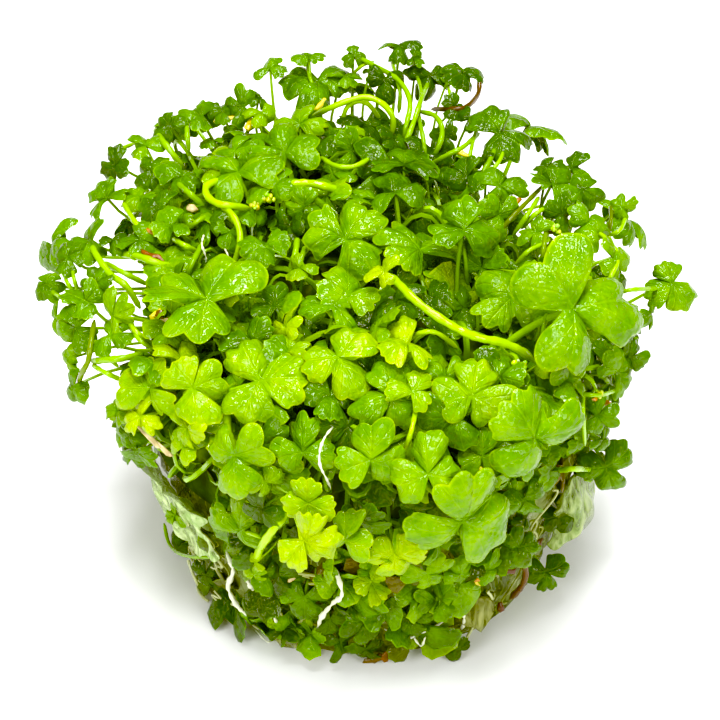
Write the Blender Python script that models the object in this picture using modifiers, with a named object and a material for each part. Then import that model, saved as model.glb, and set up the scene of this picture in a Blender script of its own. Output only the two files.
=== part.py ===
"""A portion of small-leaved pennywort, as it is turned out of the cup that it was grown in.

The lower half keeps the round wall of the cup: roots and jelly with leaves pressed flat against it.
Above that the stalks spread into a thick, flat-topped cushion of small three-lobed leaves.
The origin is the centre of the flat underside, +Z is up, and the side seen first is -Y.
"""

import math
from collections import namedtuple

import bmesh
import bpy
import numpy as np
from mathutils import Vector
from mathutils.bvhtree import BVHTree

MM = 0.001

# The rooted plug: a slightly tapered round wall, moulded by the cup
PLUG_FOOT_RADIUS = 24.2 * MM
PLUG_TOP_RADIUS = 27.9 * MM
PLUG_HEIGHT = 22.0 * MM

# The cushion of leaves: it widens above the plug, then rounds over to a nearly flat top
CUSHION_RADIUS = 37.2 * MM
CUSHION_WIDEST_HEIGHT = 41.0 * MM
CUSHION_TOP_HEIGHT = 53.0 * MM
CUSHION_SHOULDER_POWER = 3.0
CUSHION_LEAN = -3.2 * MM
FOOT_LEAN = -1.3 * MM
LEAF_LAYER = 4.2 * MM

# Pads as wide as a small leaf stand out of the plug and of the cushion
PLUG_PAD = 0.8 * MM
CUSHION_PAD = 2.0 * MM
CUSHION_CENTRE_HEIGHT = 28.0 * MM
CUSHION_FOOT_STEP = 0.12
EDGE_ROUND = 0.9 * MM

# Touching pieces keep this much air between them
GAP = 0.3 * MM

# Leaf blades and their stalks
BLADE_THICKNESS = 0.5 * MM
BLADE_DROOP = 0.20
STALK_RADIUS = 0.45 * MM
STALK_SIDES = 6
STALK_STEPS = 2
LOBE_TURN = math.radians(113)
LOBE_HALF_ANGLE = math.radians(54)

# The picture's frame: the eye, the point that it looks at, and pixels for each unit of slope
PHOTO_CENTRE = 360
PHOTO_SLOPE_PIXELS = 2800
EYE_ELEVATION = math.radians(41.0)
EYE_DISTANCE = 344.0 * MM
EYE_TARGET = Vector((-2.2, 0.0, 27.8)) * MM

RIGHT = Vector((1, 0, 0))
TO_EYE = Vector((0, -math.cos(EYE_ELEVATION), math.sin(EYE_ELEVATION)))
UP = TO_EYE.cross(RIGHT)
EYE = EYE_TARGET + TO_EYE * EYE_DISTANCE

# A leaf that the picture shows: where its stalk meets the blade, the way its middle lobe points
# (0 is right and 90 is up in the picture), its width, how high it stands over the cushion, and
# how far it tips away from facing the eye, to the right and upwards
Leaf = namedtuple("Leaf", "photo_x photo_y heading width_mm lift_mm tip_right tip_up", defaults=(0, 0))

PHOTO_LEAVES = [
    # The middle of the top
    Leaf(260, 381, 5, 10.0, 2.6, -8, 6),
    Leaf(338, 357, -60, 8.6, 4.0, 6, -6),
    Leaf(334, 306, 60, 7.6, 2.6, 0, 12),
    Leaf(275, 307, 92, 5.8, 2.2, 10, 0),
    Leaf(253, 342, 180, 6.4, 2.2, -14, -8),
    Leaf(390, 396, 200, 8.6, 2.4, 12, -6),
    Leaf(345, 240, 50, 10.0, 2.8, -6, 10),
    Leaf(420, 250, 135, 9.2, 2.2, 8, 8),
    Leaf(464, 230, 95, 8.2, 6.2, 10, 0),
    # The right side
    Leaf(511, 298, 228, 9.0, 2.0, 0, 4),
    Leaf(573, 309, 12, 15.6, 7.8, 8, -8),
    Leaf(671, 283, 205, 6.6, 3.4, -30, 0),
    Leaf(618, 372, 60, 6.0, 2.0, 16, 0),
    Leaf(472, 396, 80, 8.0, 2.6, -6, 6),
    Leaf(535, 438, 15, 12.0, 6.4, 10, -6),
    Leaf(482, 456, 90, 6.0, 1.9, 0, 0),
    Leaf(606, 467, -72, 7.2, 4.0, -28, 0),
    # The front
    Leaf(428, 474, 95, 8.4, 5.2, -8, 4),
    Leaf(370, 460, 88, 8.2, 3.6, 8, 6),
    Leaf(303, 452, 92, 7.4, 1.9, -6, 12),
    Leaf(235, 456, -85, 9.0, 4.0, -10, -4),
    Leaf(240, 530, 170, 8.4, 2.6, -14, -8),
    Leaf(308, 503, 92, 5.4, 4.6, 0, 10),
    Leaf(304, 540, -20, 8.0, 7.4, 6, -10),
    Leaf(394, 553, -88, 7.0, 3.6, 4, -8),
    Leaf(462, 522, -20, 12.4, 5.8, 10, -10),
    # The left side
    Leaf(207, 299, 165, 11.6, 5.2, -4, 8),
    Leaf(150, 388, 180, 7.6, 2.4, -16, 0),
    Leaf(47, 284, 215, 5.0, 3.6, 8, 12),
    Leaf(90, 240, 200, 5.6, 2.8, 0, 14),
    Leaf(76, 328, 205, 6.4, 3.2, 5, 0),
    Leaf(136, 450, 250, 5.6, 2.2, -18, -6),
    Leaf(107, 198, 120, 6.4, 2.4, -18, 18),
    Leaf(238, 172, 130, 9.4, 3.0, -8, 16),
    # The far rim
    Leaf(270, 68, 80, 4.8, 4.4, 0, 20),
    Leaf(318, 82, -85, 9.6, 2.6, 0, 16),
    Leaf(400, 45, -88, 5.6, 5.0, 0, 10),
    Leaf(300, 124, 90, 6.6, 2.4, 0, 10),
    Leaf(404, 164, 90, 7.0, 2.0, 0, 14),
    Leaf(463, 72, -92, 6.2, 4.2, 4, 10),
    Leaf(500, 133, 5, 8.2, 3.4, 8, 12),
    Leaf(552, 184, 70, 6.6, 2.4, 18, 16),
    # Two strays that hang close to the ground
    Leaf(546, 572, -82, 5.0, 2.2, -12, 6),
    Leaf(455, 650, -80, 4.4, 2.4, 0, -6),
]

# A leaf on the far side: its compass angle (0 is +X, 90 is away from the eye), height, width and lift
FarLeaf = namedtuple("FarLeaf", "around height_mm width_mm lift_mm")

FAR_LEAVES = [
    FarLeaf(20, 40, 8.6, 3.2),
    FarLeaf(38, 30, 7.6, 2.4),
    FarLeaf(52, 42, 9.4, 4.2),
    FarLeaf(72, 33, 8.8, 2.6),
    FarLeaf(90, 43, 8.0, 4.2),
    FarLeaf(106, 31, 9.2, 3.2),
    FarLeaf(124, 42, 9.0, 4.0),
    FarLeaf(144, 33, 8.2, 2.6),
    FarLeaf(172, 42, 8.0, 3.8),
]

# A runner is a bare stem that lies over the cushion: its points in the picture and its lift there
RUNNER_RADIUS = 0.5 * MM
RUNNERS = {
    "runner_middle": [
        (386, 272, 5.4), (400, 285, 5.6), (415, 300, 5.6), (435, 315, 5.4), (460, 330, 5.0), (480, 338, 4.6),
        (500, 342, 3.8), (520, 350, 2.4), (536, 362, 0.9),
    ],
    "runner_top": [(268, 196, 0.9), (285, 187, 2.4), (305, 183, 3.0), (327, 187, 2.6), (350, 193, 0.9)],
}

# A film of clear jelly on the wall: its compass angles, heights and thickness
JELLY_FILMS = {
    "jelly_left": (193, 228, 10.5 * MM, 24.5 * MM, 0.7 * MM),
    "jelly_right": (327, 350, 10.0 * MM, 19.5 * MM, 0.8 * MM),
}

LEAF_GREEN = (0.13, 0.36, 0.01, 1)
BRIGHT_GREEN = (0.30, 0.56, 0.02, 1)
SMALL_LEAF_GREEN = (0.07, 0.22, 0.01, 1)
ROOT_GREEN = (0.16, 0.24, 0.06, 1)
JELLY_WHITE = (0.72, 0.78, 0.62, 1)


def clear_scene():
    """Remove the objects that the file holds."""
    for old in list(bpy.data.objects):
        bpy.data.objects.remove(old, do_unlink=True)


def make_material(name, colour, roughness):
    """A plain plant surface in one colour."""
    material = bpy.data.materials.new(name)
    material.use_nodes = True
    shader = material.node_tree.nodes["Principled BSDF"]
    shader.inputs["Base Color"].default_value = colour
    shader.inputs["Roughness"].default_value = roughness
    shader.inputs["Metallic"].default_value = 0.0
    return material


def add_object(name, mesh, material, collection):
    """Put a mesh in the collection under its own name."""
    piece = bpy.data.objects.new(name, mesh)
    mesh.name = name
    mesh.materials.append(material)
    mesh.shade_smooth()
    mesh.set_sharp_from_angle(angle=math.radians(50))
    collection.objects.link(piece)
    return piece


def outer_radius(height):
    """Radius of the whole outline at a height: taper, flare, then a shoulder that rounds over."""
    if height < PLUG_HEIGHT:
        return PLUG_FOOT_RADIUS + (PLUG_TOP_RADIUS - PLUG_FOOT_RADIUS) * max(height, 0) / PLUG_HEIGHT
    if height < CUSHION_WIDEST_HEIGHT:
        rise = (height - PLUG_HEIGHT) / (CUSHION_WIDEST_HEIGHT - PLUG_HEIGHT)
        return PLUG_TOP_RADIUS + (CUSHION_RADIUS - PLUG_TOP_RADIUS) * math.sin(rise * math.pi / 2)
    rise = (height - CUSHION_WIDEST_HEIGHT) / (CUSHION_TOP_HEIGHT - CUSHION_WIDEST_HEIGHT)
    rise = min(rise, 1.0)
    return CUSHION_RADIUS * (1 - rise ** CUSHION_SHOULDER_POWER) ** (1 / CUSHION_SHOULDER_POWER)


def lean_at(height):
    """Sideways shift of the plant's centre: little at the foot, easing in to more above the plug."""
    rise = min(max((height - 0.5 * PLUG_HEIGHT) / (CUSHION_WIDEST_HEIGHT - 0.5 * PLUG_HEIGHT), 0), 1)
    return FOOT_LEAN + (CUSHION_LEAN - FOOT_LEAN) * rise * rise * (3 - 2 * rise)


def plug_line(inset, steps):
    """The plug's straight tapered wall as radius and height pairs, upwards, moved in by the inset."""
    heights = np.linspace(0, PLUG_HEIGHT, steps)
    radii = PLUG_FOOT_RADIUS + (PLUG_TOP_RADIUS - PLUG_FOOT_RADIUS) * heights / PLUG_HEIGHT
    return np.stack((radii - inset, heights), axis=1)


def cushion_line(depth, flare_steps, shoulder_steps):
    """The cushion's outline as radius and height pairs, upwards, at a depth under the leaf tips.

    The flare is a quarter sine wave. The shoulder is a quarter of a superellipse, which ends in
    the middle of the top.
    """
    widest_radius = CUSHION_RADIUS - depth
    widest_height = CUSHION_WIDEST_HEIGHT - depth / 2
    top_height = CUSHION_TOP_HEIGHT - depth
    foot_radius = PLUG_TOP_RADIUS - CUSHION_FOOT_STEP * depth
    foot_height = PLUG_HEIGHT + GAP
    rise = np.linspace(0, 1, flare_steps)[:-1]
    turn = np.linspace(0, math.pi / 2, shoulder_steps)
    power = 2 / CUSHION_SHOULDER_POWER
    flare_radius = foot_radius + (widest_radius - foot_radius) * np.sin(rise * math.pi / 2)
    flare_height = foot_height + (widest_height - foot_height) * rise
    shoulder_radius = widest_radius * np.abs(np.cos(turn)) ** power
    shoulder_height = widest_height + (top_height - widest_height) * np.sin(turn) ** power
    radii = np.concatenate((flare_radius, shoulder_radius))
    radii[-1] = 0
    return np.stack((radii, np.concatenate((flare_height, shoulder_height))), axis=1)


# The level that the leaf stalks rise from, as one line from the foot to the middle of the top
BED_LINE = np.concatenate((plug_line(0, 6), cushion_line(LEAF_LAYER, 12, 24)))


def bed_distance(point):
    """Distance from the bed line's surface, negative inside it, and the way straight out of it."""
    across = Vector((point.x - lean_at(point.z), point.y, 0))
    radius = across.length
    spot = np.array((radius, point.z))
    starts = BED_LINE[:-1]
    runs = BED_LINE[1:] - starts
    share = ((spot - starts) * runs).sum(axis=1) / (runs * runs).sum(axis=1)
    nearest = starts + runs * np.clip(share, 0, 1)[:, None]
    offsets = spot - nearest
    lengths = np.linalg.norm(offsets, axis=1)
    best = int(lengths.argmin())
    out = np.array((runs[best, 1], -runs[best, 0]))
    out /= np.linalg.norm(out)
    side = 1.0 if offsets[best] @ out >= 0 else -1.0
    radial = across.normalized() if radius > 1e-9 else RIGHT.copy()
    return side * float(lengths[best]), radial * float(out[0]) + Vector((0, 0, float(out[1])))


def photo_spot(photo_x, photo_y, lift):
    """Where the sight line through a pixel meets the level that is lift above the bed.

    A sight line that passes clear of the plant gives its point closest to it.
    """
    slope_x = (photo_x - PHOTO_CENTRE) / PHOTO_SLOPE_PIXELS
    slope_y = (PHOTO_CENTRE - photo_y) / PHOTO_SLOPE_PIXELS
    sight = (RIGHT * slope_x + UP * slope_y - TO_EYE).normalized()
    reach = EYE_DISTANCE - 60 * MM
    closest = (1.0, reach)
    while reach < EYE_DISTANCE + 60 * MM:
        distance, _ = bed_distance(EYE + sight * reach)
        over = distance - lift
        if over < closest[0]:
            closest = (over, reach)
        if over < 0.02 * MM:
            break
        reach += max(over, 0.1 * MM)
    spot = EYE + sight * closest[1]
    return spot, bed_distance(spot)[1]


def triangulated(mesh):
    """The same mesh in triangles with its faces turned outwards."""
    tidy = bmesh.new()
    tidy.from_mesh(mesh)
    bmesh.ops.triangulate(tidy, faces=tidy.faces[:])
    bmesh.ops.recalc_face_normals(tidy, faces=tidy.faces[:])
    if tidy.calc_volume(signed=True) < 0:
        bmesh.ops.reverse_faces(tidy, faces=tidy.faces[:])
    tidy.to_mesh(mesh)
    tidy.free()
    return mesh


def blade_axes(facing, heading):
    """Axes of a blade that faces a way, with its middle lobe along a heading in the picture."""
    up = facing.normalized()
    wanted = RIGHT * math.cos(heading) + UP * math.sin(heading)
    along = wanted - TO_EYE * (wanted.dot(up) / max(TO_EYE.dot(up), 0.3))
    along = (along - up * along.dot(up)).normalized()
    return along, up.cross(along), up


def lobe_outline():
    """Angle and relative radius of 24 rim points: three lobes with three round teeth each.

    Teeth stand at the shares 0 and 0.62 of a lobe's half angle, with dents between them, and a
    deep notch parts the lobes. The gap for the stalk is opposite the middle lobe.
    """
    lobe = [(-0.93, 0.70), (-0.62, 0.95), (-0.31, 0.86), (0, 1.0), (0.31, 0.86), (0.62, 0.95), (0.93, 0.70)]
    points = [(-math.pi, 0.17)]
    for turn, size in ((-LOBE_TURN, 0.92), (0.0, 1.0), (LOBE_TURN, 0.92)):
        if turn > -LOBE_TURN:
            points.append((turn - LOBE_TURN / 2, 0.34))
        points.extend((turn + share * LOBE_HALF_ANGLE, radius * size) for share, radius in lobe)
    return points


def stalk_route(start, leaving, end, arriving, steps):
    """Points of a smooth bend that leaves and arrives along the given ways."""
    length = (end - start).length
    second = start + leaving * length * 0.45
    third = end - arriving * length * 0.35
    route = []
    for share in np.linspace(0, 1, steps + 1)[1:]:
        back = 1 - share
        route.append(start * back ** 3 + second * 3 * back * back * share
                     + third * 3 * back * share * share + end * share ** 3)
    return route


def leaf_mesh(name, hub, axes, width, foot, foot_out):
    """One leaf: a thin crowned blade and the stalk that grows from under its hub.

    The rim is joined to a six-sided hub above and below, and the lower hub is carried
    along the stalk's bend to its foot on the cushion.
    """
    along, across, up = axes
    half = width * 0.54
    rim = lobe_outline()
    points = []
    for side in (1, -1):
        for angle, size in rim:
            radius = half * size
            sag = BLADE_DROOP * half * size ** 2 + 0.06 * half * math.cos(3 * angle) * size
            flat = along * math.cos(angle) * radius + across * math.sin(angle) * radius
            points.append(hub + flat + up * (side * BLADE_THICKNESS * 0.4 - sag))
        for step in range(STALK_SIDES):
            angle = -math.pi + math.tau * step / STALK_SIDES
            flat = along * math.cos(angle) * STALK_RADIUS + across * math.sin(angle) * STALK_RADIUS
            points.append(hub + flat + up * side * BLADE_THICKNESS * 0.5)
    count = len(rim)
    under = count + STALK_SIDES
    step_size = count // STALK_SIDES
    faces = []
    for index in range(count):
        after = (index + 1) % count
        near = ((index + step_size // 2) // step_size) % STALK_SIDES
        near_after = ((after + step_size // 2) // step_size) % STALK_SIDES
        faces.append((index, after, count + near_after))
        faces.append((under + after, under + index, under + count + near_after))
        if near != near_after:
            faces.append((index, count + near_after, count + near))
            faces.append((under + count + near_after, under + index, under + count + near))
        faces.append((index, under + index, under + after, after))
    faces.append(tuple(range(count, count + STALK_SIDES)))
    start = hub - up * BLADE_THICKNESS * 0.5
    route = stalk_route(start, -up, foot, -foot_out, STALK_STEPS)
    ring = list(range(under + count, under + count + STALK_SIDES))
    before = start
    side_way = along
    for spot in route:
        heading = (spot - before).normalized()
        side_way = (side_way - heading * side_way.dot(heading)).normalized()
        if spot is route[-1]:
            heading = -foot_out
            side_way = (side_way - heading * side_way.dot(heading)).normalized()
        other_way = side_way.cross(heading)
        first = len(points)
        for step in range(STALK_SIDES):
            angle = -math.pi + math.tau * step / STALK_SIDES
            points.append(spot + (side_way * math.cos(angle) + other_way * math.sin(angle)) * STALK_RADIUS)
        after_ring = list(range(first, first + STALK_SIDES))
        for step in range(STALK_SIDES):
            after = (step + 1) % STALK_SIDES
            faces.append((ring[step], after_ring[step], after_ring[after], ring[after]))
        ring = after_ring
        before = spot
    faces.append(tuple(reversed(ring)))
    mesh = bpy.data.meshes.new(name)
    mesh.from_pydata([tuple(point) for point in points], [], faces)
    return triangulated(mesh)


def sphere_spread(count):
    """Evenly spread directions, along a golden-angle spiral."""
    steps = np.arange(count) + 0.5
    heights = 1 - 2 * steps / count
    turns = steps * math.pi * (3 - math.sqrt(5))
    radii = np.sqrt(1 - heights ** 2)
    return np.stack((radii * np.cos(turns), radii * np.sin(turns), heights), axis=1)


def turned_mesh(name, profile, steps):
    """A closed turned form: a profile at +X, from the top axis down to the lower axis, with a Screw."""
    line = bpy.data.meshes.new(name + "_profile")
    points = [(radius, 0, height) for radius, height in profile]
    line.from_pydata(points, [(index, index + 1) for index in range(len(points) - 1)], [])
    guide = bpy.data.objects.new(name + "_profile", line)
    bpy.context.scene.collection.objects.link(guide)
    screw = guide.modifiers.new("Turn", "SCREW")
    screw.steps = steps
    screw.render_steps = steps
    screw.use_merge_vertices = True
    screw.merge_threshold = 0.01 * MM
    screw.use_normal_calculate = True
    mesh = bpy.data.meshes.new_from_object(guide.evaluated_get(bpy.context.evaluated_depsgraph_get()))
    bpy.data.objects.remove(guide, do_unlink=True)
    return mesh


def raise_pads(mesh, centre, count, pad_degrees, height, flat_levels):
    """Push round pads out of a surface, each the size of a small leaf, evenly spread around it.

    A pad's height falls off with the square of the angle from its middle. Points on the
    flat levels stay where they are.
    """
    spots = np.empty(len(mesh.vertices) * 3)
    mesh.vertices.foreach_get("co", spots)
    spots = spots.reshape(-1, 3)
    ways = spots - np.array(centre)
    ways /= np.maximum(np.linalg.norm(ways, axis=1), 1e-9)[:, None]
    nearest = (ways @ sphere_spread(count).T).max(axis=1)
    angle = np.degrees(np.arccos(np.clip(nearest, -1, 1)))
    push = height * np.clip(1 - (angle / pad_degrees) ** 2, -0.4, 1)
    for level in flat_levels:
        push[np.abs(spots[:, 2] - level) < 0.01 * MM] = 0
    spots += ways * push[:, None]
    spots[:, 0] += np.array([lean_at(height) for height in spots[:, 2]])
    mesh.vertices.foreach_set("co", spots.ravel())
    mesh.update()


def rooted_plug_mesh():
    """The moulded lower half: a lumpy round wall between a flat underside and a flat top."""
    wall = plug_line(PLUG_PAD, 8)[1:-1][::-1]
    top = [(0, PLUG_HEIGHT), (wall[0][0] - EDGE_ROUND, PLUG_HEIGHT)]
    foot = [(wall[-1][0] - EDGE_ROUND, 0), (0, 0)]
    mesh = turned_mesh("rooted_plug", top + [tuple(point) for point in wall] + foot, 38)
    raise_pads(mesh, (0, 0, PLUG_HEIGHT / 2), 130, 9, PLUG_PAD, (0, PLUG_HEIGHT))
    return triangulated(mesh)


def leaf_cushion_mesh():
    """The mass of small leaves: a flat-topped cushion covered in pads, on a flat bed."""
    side = cushion_line(LEAF_LAYER + CUSHION_PAD, 7, 10)[::-1]
    middle = (0, PLUG_HEIGHT + GAP)
    mesh = turned_mesh("leaf_cushion", [tuple(point) for point in side] + [middle], 50)
    raise_pads(mesh, (0, 0, CUSHION_CENTRE_HEIGHT), 150, 9.5, CUSHION_PAD, (PLUG_HEIGHT + GAP,))
    return triangulated(mesh)


def tube_mesh(name, points, radius):
    """A closed tube along points, made from a curve and welded at its caps."""
    curve = bpy.data.curves.new(name, "CURVE")
    curve.dimensions = "3D"
    curve.bevel_depth = radius
    curve.bevel_resolution = 2
    curve.use_fill_caps = True
    spline = curve.splines.new("POLY")
    spline.points.add(len(points) - 1)
    for target, point in zip(spline.points, points):
        target.co = (*point, 1)
    guide = bpy.data.objects.new(name, curve)
    bpy.context.scene.collection.objects.link(guide)
    mesh = bpy.data.meshes.new_from_object(guide.evaluated_get(bpy.context.evaluated_depsgraph_get()))
    bpy.data.objects.remove(guide, do_unlink=True)
    weld = bmesh.new()
    weld.from_mesh(mesh)
    bmesh.ops.remove_doubles(weld, verts=weld.verts[:], dist=0.001 * MM)
    bmesh.ops.recalc_face_normals(weld, faces=weld.faces[:])
    weld.to_mesh(mesh)
    weld.free()
    return mesh


def surface_tree(pieces):
    """A search tree over the faces of some pieces."""
    points = []
    faces = []
    for piece in pieces:
        first = len(points)
        points.extend(piece.matrix_world @ vertex.co for vertex in piece.data.vertices)
        faces.extend(tuple(first + index for index in face.vertices) for face in piece.data.polygons)
    return BVHTree.FromPolygons(points, faces)


def stalk_foot(tree, hub, axes, width):
    """Where a stalk stands: on the surface closest to a spot below and behind the hub."""
    along, _, up = axes
    spot, out, _, _ = tree.find_nearest(hub - along * width * 0.22 - up * width * 0.25)
    return spot + out * 1.8 * GAP, out


def add_photo_leaves(tree, material, collection):
    """Leaves that the picture shows, numbered in the order of the list."""
    for number, leaf in enumerate(PHOTO_LEAVES, start=1):
        hub, out = photo_spot(leaf.photo_x, leaf.photo_y, leaf.lift_mm * MM)
        facing = out * 1.2 + TO_EYE
        facing = facing.normalized() + RIGHT * math.tan(math.radians(leaf.tip_right))
        facing += UP * math.tan(math.radians(leaf.tip_up))
        axes = blade_axes(facing, math.radians(leaf.heading))
        width = leaf.width_mm * MM
        foot, foot_out = stalk_foot(tree, hub, axes, width)
        name = f"leaf_{number:02d}"
        add_object(name, leaf_mesh(name, hub, axes, width, foot, foot_out), material, collection)


def add_far_leaves(tree, material, collection):
    """Leaves around the far side, which face outwards and up, with the middle lobe hanging."""
    for number, leaf in enumerate(FAR_LEAVES, start=1):
        height = leaf.height_mm * MM
        around = math.radians(leaf.around)
        radial = Vector((math.cos(around), math.sin(around), 0))
        start = Vector((lean_at(height), 0, height)) + radial * outer_radius(height)
        distance, out = bed_distance(start)
        hub = start + out * (leaf.lift_mm * MM - distance)
        up = (out + Vector((0, 0, 0.7))).normalized()
        along = (radial - up * radial.dot(up)).normalized()
        axes = (along, up.cross(along), up)
        width = leaf.width_mm * MM
        foot, foot_out = stalk_foot(tree, hub, axes, width)
        name = f"leaf_far_{number:02d}"
        add_object(name, leaf_mesh(name, hub, axes, width, foot, foot_out), material, collection)


def add_runners(material, collection):
    """Bare stems that arch over the cushion."""
    for name, route in RUNNERS.items():
        points = [photo_spot(x, y, lift * MM)[0] for x, y, lift in route]
        add_object(name, tube_mesh(name, points, RUNNER_RADIUS), material, collection)


def add_jelly(material, collection):
    """Films of clear jelly that follow the plug's wall, each a curved sheet given a thickness."""
    for name, (start, end, low, high, thickness) in JELLY_FILMS.items():
        sheet = bmesh.new()
        bmesh.ops.create_grid(sheet, x_segments=6, y_segments=3, size=0.5)
        for vertex in sheet.verts:
            around = math.radians(start + (end - start) * (vertex.co.x + 0.5))
            height = low + (high - low) * (vertex.co.y + 0.5)
            height -= 1.5 * MM * math.cos(2.2 * (vertex.co.x + 0.3)) * (0.5 - vertex.co.y)
            radius = outer_radius(height) + 0.85 * MM
            vertex.co = (math.cos(around) * radius + lean_at(height), math.sin(around) * radius, height)
        mesh = bpy.data.meshes.new(name)
        sheet.to_mesh(mesh)
        sheet.free()
        film = add_object(name, mesh, material, collection)
        wall = film.modifiers.new("Thickness", "SOLIDIFY")
        wall.thickness = thickness
        wall.offset = 1.0


def main():
    """Build the plug, the cushion, and everything that stands on them."""
    clear_scene()
    plant = bpy.data.collections.new("pennywort")
    bpy.context.scene.collection.children.link(plant)
    leaf_green = make_material("leaf", LEAF_GREEN, 0.32)
    stem_green = make_material("stem", BRIGHT_GREEN, 0.35)
    small_leaf_green = make_material("small_leaves", SMALL_LEAF_GREEN, 0.4)
    root_green = make_material("roots", ROOT_GREEN, 0.45)
    jelly = make_material("jelly", JELLY_WHITE, 0.15)
    plug = add_object("rooted_plug", rooted_plug_mesh(), root_green, plant)
    cushion = add_object("leaf_cushion", leaf_cushion_mesh(), small_leaf_green, plant)
    tree = surface_tree((plug, cushion))
    add_photo_leaves(tree, leaf_green, plant)
    add_far_leaves(tree, leaf_green, plant)
    add_runners(stem_green, plant)
    add_jelly(jelly, plant)


main()
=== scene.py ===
"""A portion of small-leaved pennywort, turned out of its cup and stood on white ground.

The moulded plug comes first, with the leaves that cling to its wall. Then come the cushion's dark
inside, the leaves that stand out of it one by one and the small leaves between them, and last the
stems, the roots, the dead bits and the jelly.
"""

import math
from collections import namedtuple

import bpy
import numpy as np
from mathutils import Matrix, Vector


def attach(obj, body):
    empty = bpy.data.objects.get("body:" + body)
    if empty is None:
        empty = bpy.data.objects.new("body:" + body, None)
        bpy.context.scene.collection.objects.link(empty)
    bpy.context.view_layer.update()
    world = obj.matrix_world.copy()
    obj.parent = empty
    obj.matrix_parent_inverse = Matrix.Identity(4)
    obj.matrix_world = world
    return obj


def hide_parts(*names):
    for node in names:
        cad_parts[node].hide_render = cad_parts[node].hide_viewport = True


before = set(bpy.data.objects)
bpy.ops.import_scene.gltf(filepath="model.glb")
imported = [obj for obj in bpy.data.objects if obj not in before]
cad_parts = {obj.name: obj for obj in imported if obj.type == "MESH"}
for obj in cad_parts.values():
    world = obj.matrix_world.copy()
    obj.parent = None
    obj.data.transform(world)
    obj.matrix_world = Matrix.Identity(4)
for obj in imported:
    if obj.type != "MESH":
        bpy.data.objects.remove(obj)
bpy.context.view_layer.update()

MM = 0.001

# The eye looks down on the plant at 41 degrees from about 34 cm away, through a long lens.
# A place on the plant is given by its pixel in a picture of 720 x 720 and its lift over the leaf bed.
PHOTO_SIDE = 720
PHOTO_CENTRE = PHOTO_SIDE / 2
LENS_MM = 140
SENSOR_MM = 36
PHOTO_SLOPE_PIXELS = PHOTO_SIDE * LENS_MM / SENSOR_MM
EYE_ELEVATION = math.radians(41.0)
EYE_DISTANCE = 344.0 * MM
EYE_TARGET = np.array((-2.2, 0.0, 27.8)) * MM
PIXELS_PER_METRE = PHOTO_SLOPE_PIXELS / EYE_DISTANCE
RIGHT = np.array((1.0, 0.0, 0.0))
TO_EYE = np.array((0.0, -math.cos(EYE_ELEVATION), math.sin(EYE_ELEVATION)))
UP = np.cross(TO_EYE, RIGHT)
SKYWARD = np.array((0.0, 0.0, 1.0))
EYE = EYE_TARGET + TO_EYE * EYE_DISTANCE

camera_data = bpy.data.cameras.new("eye")
camera_data.lens = LENS_MM
camera_data.sensor_width = SENSOR_MM
camera_data.clip_start = 0.01
camera = bpy.data.objects.new("eye", camera_data)
camera.location = EYE
camera.rotation_euler = Vector(TO_EYE).to_track_quat("Z", "Y").to_euler()
bpy.context.scene.collection.objects.link(camera)
bpy.context.scene.camera = camera

# White ground under a bright white studio: a lamp above the front, one above the back for the gloss,
# two low ones in front, and an even white room that is bright to the eye and dimmer in reflections.
GROUND_HALF_SIDE = 3.0
GROUND_WHITE = (0.95, 0.95, 0.94, 1)
GROUND_ROUGHNESS = 0.9
ROOM_WHITE = (1, 1, 1, 1)
ROOM_TO_EYE = 1.0
ROOM_TO_PLANT = 0.41
ROOM_IN_GLOSS = 0.06
FILM_BLUE_FLOOR = 0.057
LAMP_AIM = (0, 0, 0.03)
LAMPS = {
    # place in metres, side in metres, power in watts
    "front_softbox": ((-0.03, -0.18, 0.69), 0.17, 4.3),
    "top_softbox": ((0.07, 0.23, 0.67), 0.18, 3.5),
    "low_left_fill": ((-0.40, -0.50, 0.38), 0.30, 2.7),
    "low_right_fill": ((0.38, -0.50, 0.38), 0.30, 2.4),
}


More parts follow.
